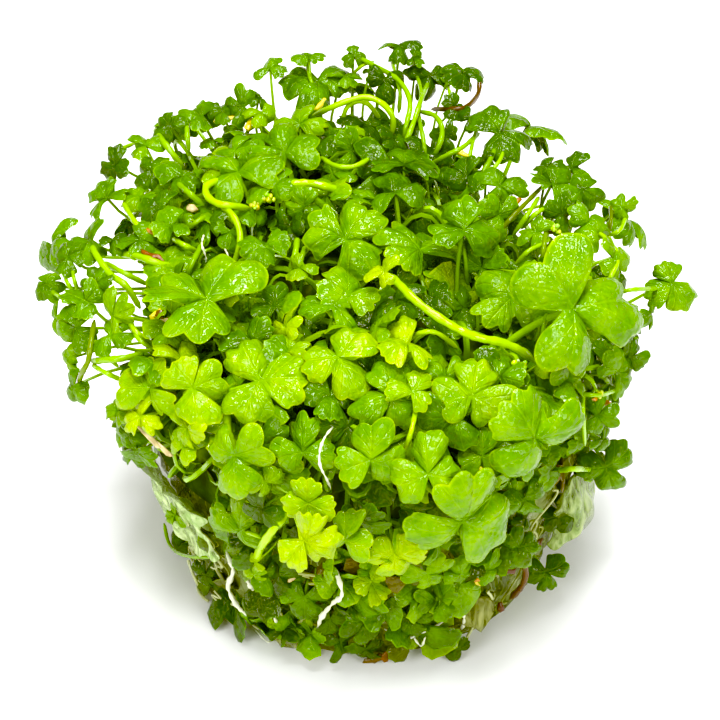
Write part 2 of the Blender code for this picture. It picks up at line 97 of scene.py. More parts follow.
class Knots:
    """A small helper to wire nodes in reading order."""

    def __init__(self, tree):
        """Keep the node tree that is wired."""
        self.tree = tree

    def give(self, node, inputs):
        """Give each named or numbered input of a node its value, or its link from another node."""
        for key, value in inputs.items():
            if isinstance(value, bpy.types.NodeSocket):
                self.tree.links.new(value, node.inputs[key])
            else:
                node.inputs[key].default_value = value

    def add(self, kind, inputs=None, **settings):
        """Make a shader node of a kind, and set its properties and its inputs."""
        node = self.tree.nodes.new("ShaderNode" + kind)
        for key, value in settings.items():
            setattr(node, key, value)
        self.give(node, inputs or {})
        return node

    def group(self, tree, inputs=None):
        """The outputs of a node group."""
        return self.add("Group", inputs, node_tree=tree).outputs

    def place(self):
        """The place of a surface point on its piece, in metres."""
        return self.add("TexCoord").outputs["Object"]

    def tone(self, output="Color"):
        """The tone that the mesh carries on its points."""
        return self.add("Attribute", attribute_name="tone").outputs[output]

    def noise(self, place, scale, detail=2.0, **more):
        """The grey value of a Noise texture."""
        return self.add("TexNoise", {"Vector": place, "Scale": scale, "Detail": detail, **more}).outputs["Fac"]

    def bump(self, height, distance, strength=1.0):
        """A normal that is tipped by a height, with the height's full range as a distance in metres."""
        node = self.add("Bump", {"Height": height, "Distance": distance, "Strength": strength})
        return node.outputs["Normal"]

    def math(self, operation, first, second=0.0, clamp=False):
        """The result of a Math node."""
        return self.add("Math", {0: first, 1: second}, operation=operation, use_clamp=clamp).outputs[0]

    def plus(self, first, second, clamp=False):
        """The sum of two values."""
        return self.math("ADD", first, second, clamp)

    def minus(self, first, second):
        """The difference of two values."""
        return self.math("SUBTRACT", first, second)

    def times(self, first, second):
        """The product of two values."""
        return self.math("MULTIPLY", first, second)

    def blend(self, share, first, second, blend_type="MIX"):
        """A colour between two colours."""
        node = self.add("Mix", {0: share, 6: first, 7: second}, data_type="RGBA", blend_type=blend_type)
        return node.outputs[2]

    def ramp(self, value, stops):
        """A colour ramp through (position, colour) stops."""
        node = self.add("ValToRGB", {0: value})
        elements = node.color_ramp.elements
        elements[0].position, elements[0].color = stops[0]
        elements[1].position, elements[1].color = stops[-1]
        for position, colour in stops[1:-1]:
            elements.new(position).color = colour
        return node.outputs["Color"]

    def spread(self, value, low, high, to_low=0.0, to_high=1.0):
        """A value mapped from one range to another with soft ends."""
        return self.add("MapRange", {0: value, 1: low, 2: high, 3: to_low, 4: to_high},
                        interpolation_type="SMOOTHSTEP").outputs[0]


def new_finish(name):
    """A material with its shader and the helper to wire it."""
    material = bpy.data.materials.new(name)
    material.use_nodes = True
    return material, material.node_tree.nodes["Principled BSDF"], Knots(material.node_tree)


for lamp_name, (place, side, power) in LAMPS.items():
    lamp_data = bpy.data.lights.new(lamp_name, "AREA")
    lamp_data.shape = "SQUARE"
    lamp_data.size = side
    lamp_data.energy = power
    lamp = bpy.data.objects.new(lamp_name, lamp_data)
    lamp.location = place
    lamp.rotation_euler = (Vector(place) - Vector(LAMP_AIM)).to_track_quat("Z", "Y").to_euler()
    bpy.context.scene.collection.objects.link(lamp)

room = bpy.data.worlds.new("white_room")
room.use_nodes = True
knots = Knots(room.node_tree)
ray_kind = knots.add("LightPath").outputs
gloss_level = knots.add("Mix", {"Factor": ray_kind["Is Glossy Ray"], "A": ROOM_TO_PLANT, "B": ROOM_IN_GLOSS})
eye_level = knots.add("Mix", {
    "Factor": ray_kind["Is Camera Ray"], "A": gloss_level.outputs["Result"], "B": ROOM_TO_EYE})
knots.give(room.node_tree.nodes["Background"], {"Color": ROOM_WHITE, "Strength": eye_level.outputs["Result"]})
bpy.context.scene.world = room
view = bpy.context.scene.view_settings
view.view_transform = "Standard"
view.use_curve_mapping = True
view.curve_mapping.black_level = (0.0, 0.0, FILM_BLUE_FLOOR)
view.curve_mapping.update()

ground_mesh = bpy.data.meshes.new("ground")
ground_corners = [(side_x * GROUND_HALF_SIDE, side_y * GROUND_HALF_SIDE, 0)
                  for side_x, side_y in ((-1, -1), (1, -1), (1, 1), (-1, 1))]
ground_mesh.from_pydata(ground_corners, [], [(0, 1, 2, 3)])
ground_paper, paper_shader, knots = new_finish("ground_paper")
knots.give(paper_shader, {"Base Color": GROUND_WHITE, "Roughness": GROUND_ROUGHNESS, "Specular IOR Level": 0.0})
ground_mesh.materials.append(ground_paper)
ground = bpy.data.objects.new("ground", ground_mesh)
bpy.context.scene.collection.objects.link(ground)

# The moulded plug: the cup pressed roots, jelly and buried stems into a round, slightly tapered
# wall with a flat underside. Its skin is a felt of pale roots over dark green, lumpy all over.
PLUG_FOOT_RADIUS = 24.2 * MM
PLUG_TOP_RADIUS = 27.9 * MM
PLUG_HEIGHT = 22.0 * MM
CUSHION_RADIUS = 37.2 * MM
CUSHION_WIDEST_HEIGHT = 41.0 * MM
CUSHION_TOP_HEIGHT = 53.0 * MM
CUSHION_SHOULDER_POWER = 3.0
CUSHION_LEAN = -3.2 * MM
FOOT_LEAN = -1.3 * MM
LEAN_START = 0.5 * PLUG_HEIGHT
CUSHION_FOOT_STEP = 0.12
LEAF_LAYER = 4.2 * MM
GAP = 0.3 * MM
RIPPLE_WAVES = 12
RIPPLE_SCALE = 4.2
# The waves' lengths, as shares of the length asked for
RIPPLE_LENGTHS = (0.7, 1.5)
SHARP_EDGE = math.radians(60)
FELT_INSET = 1.1 * MM
FELT_LUMP = 0.9 * MM
FELT_LONG_LUMP = 6.5 * MM
FELT_SHORT_LUMP = 2.4 * MM
FELT_LONG_STRENGTH = 0.7
FELT_SHORT_STRENGTH = 0.45
FELT_FREE_HEIGHT = 2 * MM
FELT_RELIEF = 0.22 * MM
THREAD_DRIFT = 6 * MM
FELT_AROUND = 200
FELT_RIM_ROWS = 5
FELT_WALL_ROWS = 36
FELT_GREENS = [
    (0.30, (0.006, 0.016, 0.001, 1)), (0.48, (0.030, 0.066, 0.003, 1)),
    (0.60, (0.085, 0.120, 0.008, 1)), (0.75, (0.14, 0.11, 0.020, 1))]
FELT_PALE_PATCH = (0.30, 0.36, 0.15, 1)
FELT_BROWN_PATCH = (0.16, 0.15, 0.012, 1)
THREAD_DULL = (0.20, 0.26, 0.06, 1)
THREAD_PALE = (0.46, 0.50, 0.26, 1)


def lean_at(height):
    """Sideways shift of the plant's centre: little at the foot, more from the cushion's widest level."""
    rise = np.clip((height - LEAN_START) / (CUSHION_WIDEST_HEIGHT - LEAN_START), 0, 1)
    return FOOT_LEAN + (CUSHION_LEAN - FOOT_LEAN) * rise * rise * (3 - 2 * rise)


def leaned(points):
    """Points moved sideways by the plant's lean at their height."""
    moved = points.copy()
    moved[..., 0] += lean_at(points[..., 2])
    return moved


def wall_radius(height):
    """Radius of the plug's straight tapered wall at a height."""
    return PLUG_FOOT_RADIUS + (PLUG_TOP_RADIUS - PLUG_FOOT_RADIUS) * height / PLUG_HEIGHT


def unit(ways):
    """Each way at length one."""
    return ways / np.maximum(np.linalg.norm(ways, axis=-1, keepdims=True), 1e-12)


def square_to(axis, ways):
    """Each way at length one, without the part of it that runs along an axis."""
    return unit(ways - axis * (ways * axis).sum(axis=-1, keepdims=True))


def turned(radius, around, height):
    """Points at a radius from the upright axis, an angle round it and a height."""
    return np.stack(np.broadcast_arrays(radius * np.cos(around), radius * np.sin(around), height), axis=-1)


def ripples(points, wavelength, seed):
    """A smooth random height between about -1 and 1: plane waves of like length, added up."""
    dice = np.random.default_rng(seed)
    ways = dice.normal(size=(RIPPLE_WAVES, 3))
    ways /= np.linalg.norm(ways, axis=1)[:, None]
    ways *= 2 * math.pi / (wavelength * dice.uniform(*RIPPLE_LENGTHS, RIPPLE_WAVES)[:, None])
    return np.sin(points @ ways.T + dice.uniform(0, 2 * math.pi, RIPPLE_WAVES)).sum(axis=1) / RIPPLE_SCALE


def add_piece(name, finishes, points, face_groups, replaced=(), tone=None, vein=None, group_finish=None):
    """Show points and faces as a smooth piece and the solids that it stands for.

    A face group is an array with one row of corners a face. Tone is a value of four numbers on
    each point, and vein is each point's place on its leaf.
    """
    mesh = bpy.data.meshes.new(name)
    sizes = np.concatenate([np.full(len(group), group.shape[1]) for group in face_groups])
    corners = np.concatenate([group.ravel() for group in face_groups]).astype(np.int32)
    mesh.vertices.add(len(points))
    mesh.vertices.foreach_set("co", points.astype(np.float32).ravel())
    mesh.loops.add(len(corners))
    mesh.loops.foreach_set("vertex_index", corners)
    mesh.polygons.add(len(sizes))
    mesh.polygons.foreach_set("loop_start", np.concatenate(([0], np.cumsum(sizes)[:-1])).astype(np.int32))
    if group_finish is not None:
        index = np.repeat(group_finish, [len(group) for group in face_groups])
        mesh.polygons.foreach_set("material_index", index.astype(np.int32))
    if tone is not None:
        layer = mesh.attributes.new("tone", "FLOAT_COLOR", "POINT")
        layer.data.foreach_set("color", tone.astype(np.float32).ravel())
    if vein is not None:
        layer = mesh.uv_layers.new(name="vein")
        layer.uv.foreach_set("vector", vein[corners].astype(np.float32).ravel())
    mesh.update(calc_edges=True)
    mesh.shade_smooth()
    mesh.set_sharp_from_angle(angle=SHARP_EDGE)
    for finish in finishes:
        mesh.materials.append(finish)
    piece = bpy.data.objects.new(name, mesh)
    bpy.context.scene.collection.objects.link(piece)
    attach(piece, "root")
    if replaced:
        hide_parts(*replaced)


def ring_quads(rows, columns):
    """Quads between rows of points, where each row closes round an axis."""
    column = np.arange(columns)
    after = (column + 1) % columns
    first = np.arange(rows - 1)[:, None] * columns
    quads = np.stack((first + column, first + after, first + columns + after, first + columns + column), axis=2)
    return quads.reshape(-1, 4)


def turned_grid(rows, columns):
    """Faces of a surface that closes round an axis: quads between rows and a fan at each end.

    Rows run from the lower end upwards and columns run anticlockwise from above. The first
    point is the lower pole and the last one is the upper pole.
    """
    column = np.arange(columns)
    after = (column + 1) % columns
    lower = np.stack((np.zeros(columns, int), 1 + after, 1 + column), axis=1)
    last = 1 + (rows - 1) * columns
    upper = np.stack((last + column, last + after, np.full(columns, last + columns)), axis=1)
    return [1 + ring_quads(rows, columns), lower, upper]


def new_group(name, takes, gives):
    """A node group with its helper and ends: it takes name: value inputs and gives name: kind outputs."""
    group = bpy.data.node_groups.new(name, "ShaderNodeTree")
    for socket, value in takes.items():
        kind = {4: "Color", 3: "Vector"}[len(value)] if isinstance(value, tuple) else "Float"
        made = group.interface.new_socket(socket, in_out="INPUT", socket_type="NodeSocket" + kind)
        made.default_value = value
    for socket, kind in gives.items():
        group.interface.new_socket(socket, in_out="OUTPUT", socket_type="NodeSocket" + kind)
    return group, Knots(group), group.nodes.new("NodeGroupInput").outputs, group.nodes.new("NodeGroupOutput")


def wet_film():
    """Group: the water film that lies on every surface, as a bump height and a roughness.

    Fine and coarse noise make the film uneven, and drier patches are rougher.
    """
    group, knots, given, out = new_group(
        "wet_film", {"Grain": 1100.0, "Smooth": 0.16, "Dull": 0.42}, {"Height": "Float", "Roughness": "Float"})
    place = knots.place()
    fine = knots.noise(place, given["Grain"], 2.0, Roughness=0.55)
    coarse = knots.noise(place, knots.times(given["Grain"], 0.33), 1.0)
    crisp = knots.noise(place, 3400.0, 1.0)
    height = knots.plus(knots.plus(knots.times(fine, 0.6), coarse), knots.times(crisp, 0.20))
    dryness = knots.spread(knots.noise(place, 160.0), 0.42, 0.62)
    spare = knots.minus(given["Dull"], given["Smooth"])
    knots.give(out, {"Height": height, "Roughness": knots.plus(given["Smooth"], knots.times(spare, dryness))})
    return group


WET_FILM = wet_film()


def felt_finish():
    """Pale root threads pressed over dark green and brown, under a wet film."""
    material, shader, knots = new_finish("root_felt")
    place = knots.place()
    drift = knots.add("TexNoise", {"Vector": place, "Scale": 260.0, "Detail": 3.0}).outputs
    pushed = knots.add("VectorMath", {0: drift["Color"], 3: THREAD_DRIFT}, operation="SCALE").outputs[0]
    bent = knots.add("VectorMath", {0: place, 1: pushed}, operation="ADD").outputs[0]
    threads = knots.add("TexWave", {"Vector": bent, "Scale": 240.0, "Distortion": 9.0, "Detail": 2.5,
                                    "Detail Scale": 1.6}).outputs["Fac"]
    thread_mask = knots.spread(threads, 0.66, 0.93)
    patch = knots.noise(place, 95.0, 3.0)
    under = knots.ramp(drift["Fac"], FELT_GREENS)
    under = knots.blend(knots.spread(patch, 0.52, 0.66, 0.0, 0.75), under, FELT_PALE_PATCH)
    under = knots.blend(knots.spread(patch, 0.46, 0.34, 0.0, 0.6), under, FELT_BROWN_PATCH)
    thread = knots.blend(knots.spread(drift["Fac"], 0.35, 0.7), THREAD_DULL, THREAD_PALE)
    film = knots.group(WET_FILM)
    height = knots.plus(film["Height"], knots.times(thread_mask, 1.4))
    knots.give(shader, {
        "Base Color": knots.blend(knots.times(thread_mask, 0.55), under, thread),
        "Roughness": film["Roughness"], "Normal": knots.bump(height, FELT_RELIEF, 0.8),
        "Specular IOR Level": 0.35})
    return material


ROOT_FELT = felt_finish()

felt_around = np.linspace(0, 2 * math.pi, FELT_AROUND, endpoint=False)
felt_rise = np.linspace(0.04, 1, FELT_WALL_ROWS) * math.pi / 2
felt_height = np.concatenate((
    np.zeros(FELT_RIM_ROWS), PLUG_HEIGHT * (1 - np.cos(felt_rise)) ** 0.9, np.full(FELT_RIM_ROWS, PLUG_HEIGHT)))
felt_inward = np.concatenate((
    np.linspace(0.2, 1, FELT_RIM_ROWS), np.ones(FELT_WALL_ROWS), np.linspace(0.98, 0.2, FELT_RIM_ROWS)))
felt_radius = (wall_radius(felt_height) - FELT_INSET) * felt_inward
felt_points = turned(felt_radius[:, None], felt_around, felt_height[:, None]).reshape(-1, 3)
felt_lumps = ripples(felt_points, FELT_LONG_LUMP, 3) * FELT_LONG_STRENGTH
felt_lumps += ripples(felt_points, FELT_SHORT_LUMP, 4) * FELT_SHORT_STRENGTH
felt_free = np.repeat((felt_inward == 1) * np.clip(felt_height / FELT_FREE_HEIGHT, 0.25, 1), FELT_AROUND)
felt_points += unit(felt_points * (1, 1, 0)) * (felt_lumps * felt_free * FELT_LUMP)[:, None]
felt_points = np.concatenate(([(0, 0, 0)], leaned(felt_points), [(lean_at(PLUG_HEIGHT), 0, PLUG_HEIGHT)]))
add_piece("plug_of_roots", [ROOT_FELT], felt_points, turned_grid(len(felt_height), FELT_AROUND),
          ["rooted_plug"])

# Leaves pressed on the wall: the cup held them flat, overlapping like shingles, dark and wet.
# Each blade is a thin closed shell with three lobes, teeth on its rim and a sunken middle.
WALL_LEAF_COUNT = 200
WALL_LEAF_LOW_MM = 2.2
WALL_LEAF_SPAN_MM = 21.6
WALL_LEAF_FLOOR = 0.25 * MM
WALL_LEAF_WIDTH_MM = (3.8, 8.8)
WALL_LEAF_LIFT_MM = (-1.0, 0.9)
WALL_LEAF_TIP = 0.46
WALL_LEAF_TURN = 1.3
WALL_LEAF_SKYWARD = 0.20
WALL_LEAF_BROWNEST = 0.7
WALL_LEAF_EASE = {"fold": 0.4, "rise": 0.8, "tooth_depth": 0.6}
BROWN_FROM_HEIGHT = 12.0 * MM
GOLDEN_ANGLE = math.pi * (3 - math.sqrt(5))
# The compass angle of the left jelly film, with leaves kept flat under it and off it
FILM_AROUND = 211
FILM_HALF_SPAN = 19
FILM_LOW = 8 * MM
FILM_SINK_MM = -1.3
# A leaf covers this share of its width round its hub, and past this Y it isn't in the eye's way
COVER_SHARE = 0.30
FAR_SIDE_Y = 20 * MM
# A blade's lobes reach this much past half of its width
LOBE_REACH = 1.18
WIDEST_SIDE_LOBE = math.radians(58)
# How closely rim points crowd at a lobe's two sides, and the share at which the last ones stand
RIM_CROWDING = 1.30
RIM_END = 0.985
# Rim points across a lobe of the plainest blades
FEW_STEPS = np.array((-0.95, -0.62, -0.34, -0.15, 0.15, 0.34, 0.62, 0.95))
# The middle vein's width, and side veins: share of the lobe where one meets the rim, where it
# starts, its width and its strength
MIDDLE_VEIN_WIDTH = 0.045
SIDE_VEINS = ((0.62, 0.22, 0.034, 0.8), (0.93, 0.10, 0.030, 0.7), (0.31, 0.45, 0.026, 0.6))
# How much yellower or greener a leaf gets in clouds, at its hub and rim, and on veins and cells. The
# rim's paler band is partly the leaf's own paler edge and partly painted backlight
CLOUD_TINT = 0.80
HUB_TINT = -0.10
RIM_PALE_AND_BACKLIGHT = 0.20
VEIN_TINT = 0.30
CELL_TINT = 0.10
# How deep veins lie, against the cells' height
VEIN_DEPTH = 1.2
LEAF_RELIEF = 0.30 * MM
LEAF_GREENS = [
    (0.0, (0.018, 0.062, 0.0006, 1)), (0.25, (0.045, 0.138, 0.0008, 1)), (0.5, (0.120, 0.312, 0.001, 1)),
    (0.75, (0.240, 0.458, 0.0015, 1)), (1.0, (0.420, 0.590, 0.002, 1))]
DEAD_LEAF = (0.22, 0.075, 0.004, 1)

Leaves = namedtuple("Leaves", "hub along across up width")
# How finely a blade is made: points across a lobe, rings of its two sides, and its thickness
BladeMake = namedtuple("BladeMake", "lobe_steps rings under_rings thickness")
PRESSED_BLADE = BladeMake(11, (0.45, 0.8, 1.0), (), 0.28 * MM)

# Dark hollows between the leaves and bare parts of the wall, as pixels with a radius in pixels
OPEN_SPOTS = np.array([
    (309, 265, 17), (332, 264, 12), (283, 262, 10), (338, 487, 11), (354, 492, 9), (212, 240, 10),
    (303, 423, 9), (319, 418, 8), (250, 278, 8), (207, 355, 9), (270, 232, 7), (432, 489, 6),
    (490, 425, 10), (423, 320, 8), (458, 111, 6), (361, 642, 7), (506, 570, 9), (476, 614, 11),
    (497, 602, 8), (344, 628, 6), (557, 511, 10), (572, 489, 9), (535, 549, 7), (183, 470, 18),
    (197, 500, 16), (166, 455, 12), (190, 560, 8)])


def picture_place(points):
    """Pixel and distance from the eye of points."""
    offset = points - EYE
    depth = -(offset @ TO_EYE)
    pixel_x = PHOTO_CENTRE + (offset @ RIGHT) / depth * PHOTO_SLOPE_PIXELS
    pixel_y = PHOTO_CENTRE - (offset @ UP) / depth * PHOTO_SLOPE_PIXELS
    return pixel_x, pixel_y, depth


def over_open_spot(leaves):
    """Whether leaves would cover, in the picture, a dark hollow or a bare part of the wall."""
    pixel_x, pixel_y, depth = picture_place(leaves.hub)
    apart = np.hypot(pixel_x[:, None] - OPEN_SPOTS[:, 0], pixel_y[:, None] - OPEN_SPOTS[:, 1])
    reach = OPEN_SPOTS[:, 2] + COVER_SHARE * leaves.width[:, None] * PIXELS_PER_METRE
    return (apart < reach).any(axis=1) & (leaves.hub[:, 1] < FAR_SIDE_Y)


def picked(leaves, chosen):
    """Those leaves of a crop that are chosen."""
    return Leaves(*(part[chosen] for part in leaves))


def picked_form(form, chosen):
    """The forms of those leaves that are chosen."""
    return {key: value[chosen] for key, value in form.items()}


def leaf_forms(dice, count, rise=(0.10, 0.50), curl=(0.6, 1.5), notch=(0.26, 0.46)):
    """How each leaf grew: its lobes' angles and sizes, its teeth, and the way its blade bends.

    Rise is the angle at which the lobes leave the hub, and curl is how far they bend down again.
    Notch is how far from the hub two lobes part.
    """
    turn = np.radians(dice.uniform(100, 116, count))
    middle = np.radians(dice.uniform(38, 56, count))
    sides = np.minimum(turn - middle - np.radians(dice.uniform(0, 12, (2, count))), WIDEST_SIDE_LOBE)
    tooth_rate = dice.choice((1.0, 1.5, 1.5, 2.0, 2.5), (count, 3))
    return {
        "turn": turn,
        "half_angle": np.stack((sides[0], middle, sides[1]), axis=1),
        "lobe_size": dice.uniform((0.80, 0.92, 0.80), (1.0, 1.06, 1.0), (count, 3)),
        "lobe_lean": dice.uniform(-0.14, 0.14, (count, 3)),
        "notch": dice.uniform(*notch, count),
        "stalk_gap": dice.uniform(0.08, 0.15, count),
        "corner": dice.uniform(5.0, 12.0, (count, 3)),
        "tooth_rate": tooth_rate,
        "tooth_shift": np.where(tooth_rate == 1.0, 0.5, dice.choice((0.0, 0.5), (count, 3))),
        "tooth_depth": dice.uniform(0.22, 0.42, (count, 3)) / (tooth_rate + 0.5),
        "rise": dice.uniform(*rise, (count, 3)),
        "curl": dice.uniform(*curl, (count, 3)),
        "arch": dice.uniform(0.04, 0.46, (count, 3)),
        "twist": dice.uniform(-0.50, 0.50, (count, 3)),
        "groove": dice.uniform(0.02, 0.06, count),
        "roll": dice.uniform(0.02, 0.10, count),
        "fold": dice.uniform(-0.18, 0.20, count),
        "wave": dice.uniform(0.02, 0.07, count),
        "wave_count": dice.choice((5.0, 7.0, 9.0, 11.0), count),
        "wave_way": dice.uniform(0, 2 * math.pi, count),
        "quilt": dice.uniform(0.014, 0.036, count),
    }


def rim_shares(lobe_steps):
    """Place of each rim point across its lobe, -1 to 1, and how much each of the three lobes owns it.

    The points go round from the stalk's gap: first lobe, notch, middle lobe, notch, last lobe.
    They stand closer together near a lobe's two sides.
    """
    across_lobe = np.sin(np.linspace(-1, 1, lobe_steps) * RIM_CROWDING) / math.sin(RIM_CROWDING) * RIM_END
    if lobe_steps == len(FEW_STEPS):
        across_lobe = FEW_STEPS
    share = np.concatenate(([1], across_lobe, [1], across_lobe, [1], across_lobe))
    owner = np.zeros((len(share), 3))
    for lobe in range(3):
        start = 1 + lobe * (lobe_steps + 1)
        owner[start:start + lobe_steps, lobe] = 1
    owner[0] = (0.5, 0, 0.5)
    owner[lobe_steps + 1] = (0.5, 0.5, 0)
    owner[2 * lobe_steps + 2] = (0, 0.5, 0.5)
    return share, owner


def rim_line(form, lobe_steps):
    """Angle and radius of the rim of every leaf, in half widths.

    A lobe is a wedge from the hub whose end rounds off as a superellipse and carries rounded
    teeth, the absolute value of a cosine. A deep notch parts it from the next one.
    """
    share, owner = rim_shares(lobe_steps)

    def each(key):
        """A form's value of each leaf at each rim point."""
        return form[key] @ owner.T

    gap, first_notch, last_notch = 0, lobe_steps + 1, 2 * lobe_steps + 2
    half_angle = form["half_angle"]
    angle = form["turn"][:, None] * (owner @ np.array((-1, 0, 1))) + share * each("half_angle")
    angle[:, gap] = -math.pi
    angle[:, first_notch] = (half_angle[:, 0] - form["turn"] - half_angle[:, 1]) / 2
    angle[:, last_notch] = (half_angle[:, 1] + form["turn"] - half_angle[:, 2]) / 2
    size = each("lobe_size") * (1 + each("lobe_lean") * share)
    floor = form["notch"][:, None] / size
    shoulder = np.sqrt(1 - np.abs(share) ** each("corner") * (1 - 1e-9))
    scallop = np.abs(np.cos(math.pi * (each("tooth_rate") * share + each("tooth_shift"))))
    radius = size * (floor + (1 - floor) * shoulder) * (1 - each("tooth_depth") * (1 - scallop))
    radius[:, gap] = form["stalk_gap"]
    radius[:, first_notch] = form["notch"]
    radius[:, last_notch] = form["notch"]
    return angle, radius


def blade_bend(form, angle, radius, share, owner, level, under):
    """Reach and height of blade points from their hub, in half widths.

    A lobe's middle line is an arc: it leaves the hub at its rise angle and bends down by its curl.
    Across its width the lobe is puffed up and twisted, with a groove along its middle vein and a
    rolled edge. A fold, waves towards the rim and quilting in two sizes come on top, all square to
    the arc. Under is the lower side's depth there.
    """
    def each(key):
        """A form's value of each leaf, for all of its points."""
        return form[key][:, None]

    rise = form["rise"] @ owner.T
    curl = form["curl"] @ owner.T
    slope = rise - curl * radius
    reach = (np.sin(rise) - np.sin(slope)) / curl
    height = (np.cos(slope) - np.cos(rise)) / curl
    ahead = radius * np.cos(angle)
    aside = radius * np.sin(angle)
    way = each("wave_way")
    puff = (form["arch"] @ owner.T) * radius * (np.cos(share * math.pi / 2) - 0.45)
    puff -= each("groove") * radius * np.exp(-(share / 0.15) ** 2)
    puff += (form["twist"] @ owner.T) * radius * share
    puff -= each("roll") * np.maximum(np.abs(share), level) ** 8 * radius
    puff += each("fold") * np.abs(aside)
    puff += each("wave") * radius ** 2 * np.sin(each("wave_count") * angle + way)
    quilt = np.sin(8 * ahead + 5 * way) * np.sin(8 * aside + 3 * way)
    quilt += 0.5 * np.sin(15 * ahead + 3 * aside + 7 * way) * np.sin(14 * aside - 4 * ahead)
    puff += each("quilt") * np.minimum(radius * 3, 1) * quilt - under
    return reach - np.sin(slope) * puff, height + np.cos(slope) * puff


def blade_shells(leaves, form, make):
    """Points, faces and vein places of closed blades, for all leaves at once.

    The upper side is worked out on rings between the hub and the rim. The lower side follows it
    at the blade's thickness, which thins out to nothing where both meet in the rim.
    """
    share, owner = rim_shares(make.lobe_steps)
    rim_angle, rim_radius = rim_line(form, make.lobe_steps)
    columns = len(share)
    half = leaves.width[:, None] / 2 * LOBE_REACH
    points = []
    veins = []
    levels = [(level, False) for level in (0.0, *make.rings)]
    levels += [(level, True) for level in (0.0, *make.under_rings)]
    for level, lower in levels:
        angle, radius, across_share, owned = rim_angle, rim_radius * level, share, owner
        if level == 0:
            angle, radius, across_share = angle[:, :1], radius[:, :1], share[:1] * 0
            owned = np.full((1, 3), 1 / 3)
        under = make.thickness / half * (1 - level ** 2) if lower else 0.0
        reach, height = blade_bend(form, angle, radius, across_share, owned, level, under)
        points.append(leaves.hub[:, None, :] + half[:, :, None] * (
            leaves.along[:, None, :] * (reach * np.cos(angle))[:, :, None]
            + leaves.across[:, None, :] * (reach * np.sin(angle))[:, :, None]
            + leaves.up[:, None, :] * height[:, :, None]))
        veins.append(np.stack(np.broadcast_arrays(np.abs(across_share), np.full_like(radius, level)), axis=2))
    points = np.concatenate(points, axis=1)
    veins = np.concatenate(veins, axis=1)
    column = np.arange(columns)
    after = (column + 1) % columns
    upper_ring = [1 + index * columns for index in range(len(make.rings))]
    under_hub = 1 + len(make.rings) * columns
    lower_ring = [under_hub + 1 + index * columns for index in range(len(make.under_rings))] + [upper_ring[-1]]
    triangles = [np.stack((np.zeros(columns, int), upper_ring[0] + column, upper_ring[0] + after), axis=1),
                 np.stack((np.full(columns, under_hub), lower_ring[0] + after, lower_ring[0] + column), axis=1)]
    quads = [np.zeros((0, 4), int)]
    for inner, outer in zip(upper_ring, upper_ring[1:]):
        quads.append(np.stack((inner + column, outer + column, outer + after, inner + after), axis=1))
    for inner, outer in zip(lower_ring, lower_ring[1:]):
        quads.append(np.stack((inner + after, outer + after, outer + column, inner + column), axis=1))
    first = (np.arange(len(leaves.width)) * points.shape[1])[:, None, None]
    triangles = (first + np.concatenate(triangles)).reshape(-1, 3)
    quads = (first + np.concatenate(quads)).reshape(-1, 4)
    return points.reshape(-1, 3), [triangles, quads], veins.reshape(-1, 2)


def leaf_pattern():
    """Group: a leaf's colour and relief, from its tone and the place on the blade.

    The middle vein runs along share 0 of each lobe. Side veins leave it and reach the teeth, so
    their share grows from nothing as they near the rim. Cells between them are slightly puffed.
    """
    group, knots, given, out = new_group(
        "leaf_pattern", {"Tone": (0.5, 0.5, 0.5, 1), "Vein place": (0, 0, 0), "Vein strength": 0.5},
        {"Colour": "Color", "Height": "Float"})
    tone = knots.add("SeparateColor", {0: given["Tone"]}).outputs
    spot = knots.add("SeparateXYZ", {0: given["Vein place"]}).outputs
    share, reach = spot[0], spot[1]
    place = knots.place()

    def vein_line(tip_share, start, width):
        """Closeness to a vein that leaves the middle vein at start and meets the rim at tip_share."""
        run = knots.math("DIVIDE", knots.minus(reach, start), 1 - start)
        wanted = knots.times(knots.math("DIVIDE", run, knots.math("MAXIMUM", reach, 0.05)), tip_share)
        distance = knots.times(knots.math("ABSOLUTE", knots.minus(share, wanted)), reach)
        mask = knots.spread(distance, 0.0, width, 1.0, 0.0)
        return knots.times(mask, knots.math("GREATER_THAN", reach, start))

    middle = knots.times(share, knots.math("MAXIMUM", reach, 0.1))
    veins = knots.spread(middle, 0.0, MIDDLE_VEIN_WIDTH, 1.0, 0.0)
    for tip_share, start, width, strength in SIDE_VEINS:
        veins = knots.math("MAXIMUM", veins, knots.times(vein_line(tip_share, start, width), strength))
    veins = knots.times(veins, given["Vein strength"])
    cells = knots.add("TexVoronoi", {"Vector": place, "Scale": 1500.0}, feature="SMOOTH_F1")
    pillow = knots.minus(1.0, cells.outputs["Distance"])
    cloud = knots.noise(place, 330.0, 5.0, Roughness=0.6)
    hub_dark = knots.spread(reach, 0.0, 0.35, HUB_TINT, 0.0)
    # A paler band along the rim: partly the leaf's own paler edge, partly painted backlight through the thin
    # edge.
    rim_pale_and_backlight = knots.spread(reach, 0.93, 0.985, 0.0, RIM_PALE_AND_BACKLIGHT)
    yellow = knots.plus(tone[0], knots.times(knots.minus(cloud, 0.5), CLOUD_TINT))
    yellow = knots.plus(knots.plus(yellow, hub_dark), rim_pale_and_backlight)
    yellow = knots.plus(yellow, knots.times(veins, VEIN_TINT))
    yellow = knots.plus(yellow, knots.times(knots.minus(pillow, 0.6), CELL_TINT), clamp=True)
    knots.give(out, {
        "Colour": knots.blend(tone[2], knots.ramp(yellow, LEAF_GREENS), DEAD_LEAF),
        "Height": knots.minus(pillow, knots.times(veins, VEIN_DEPTH))})
    return group


LEAF_PATTERN = leaf_pattern()


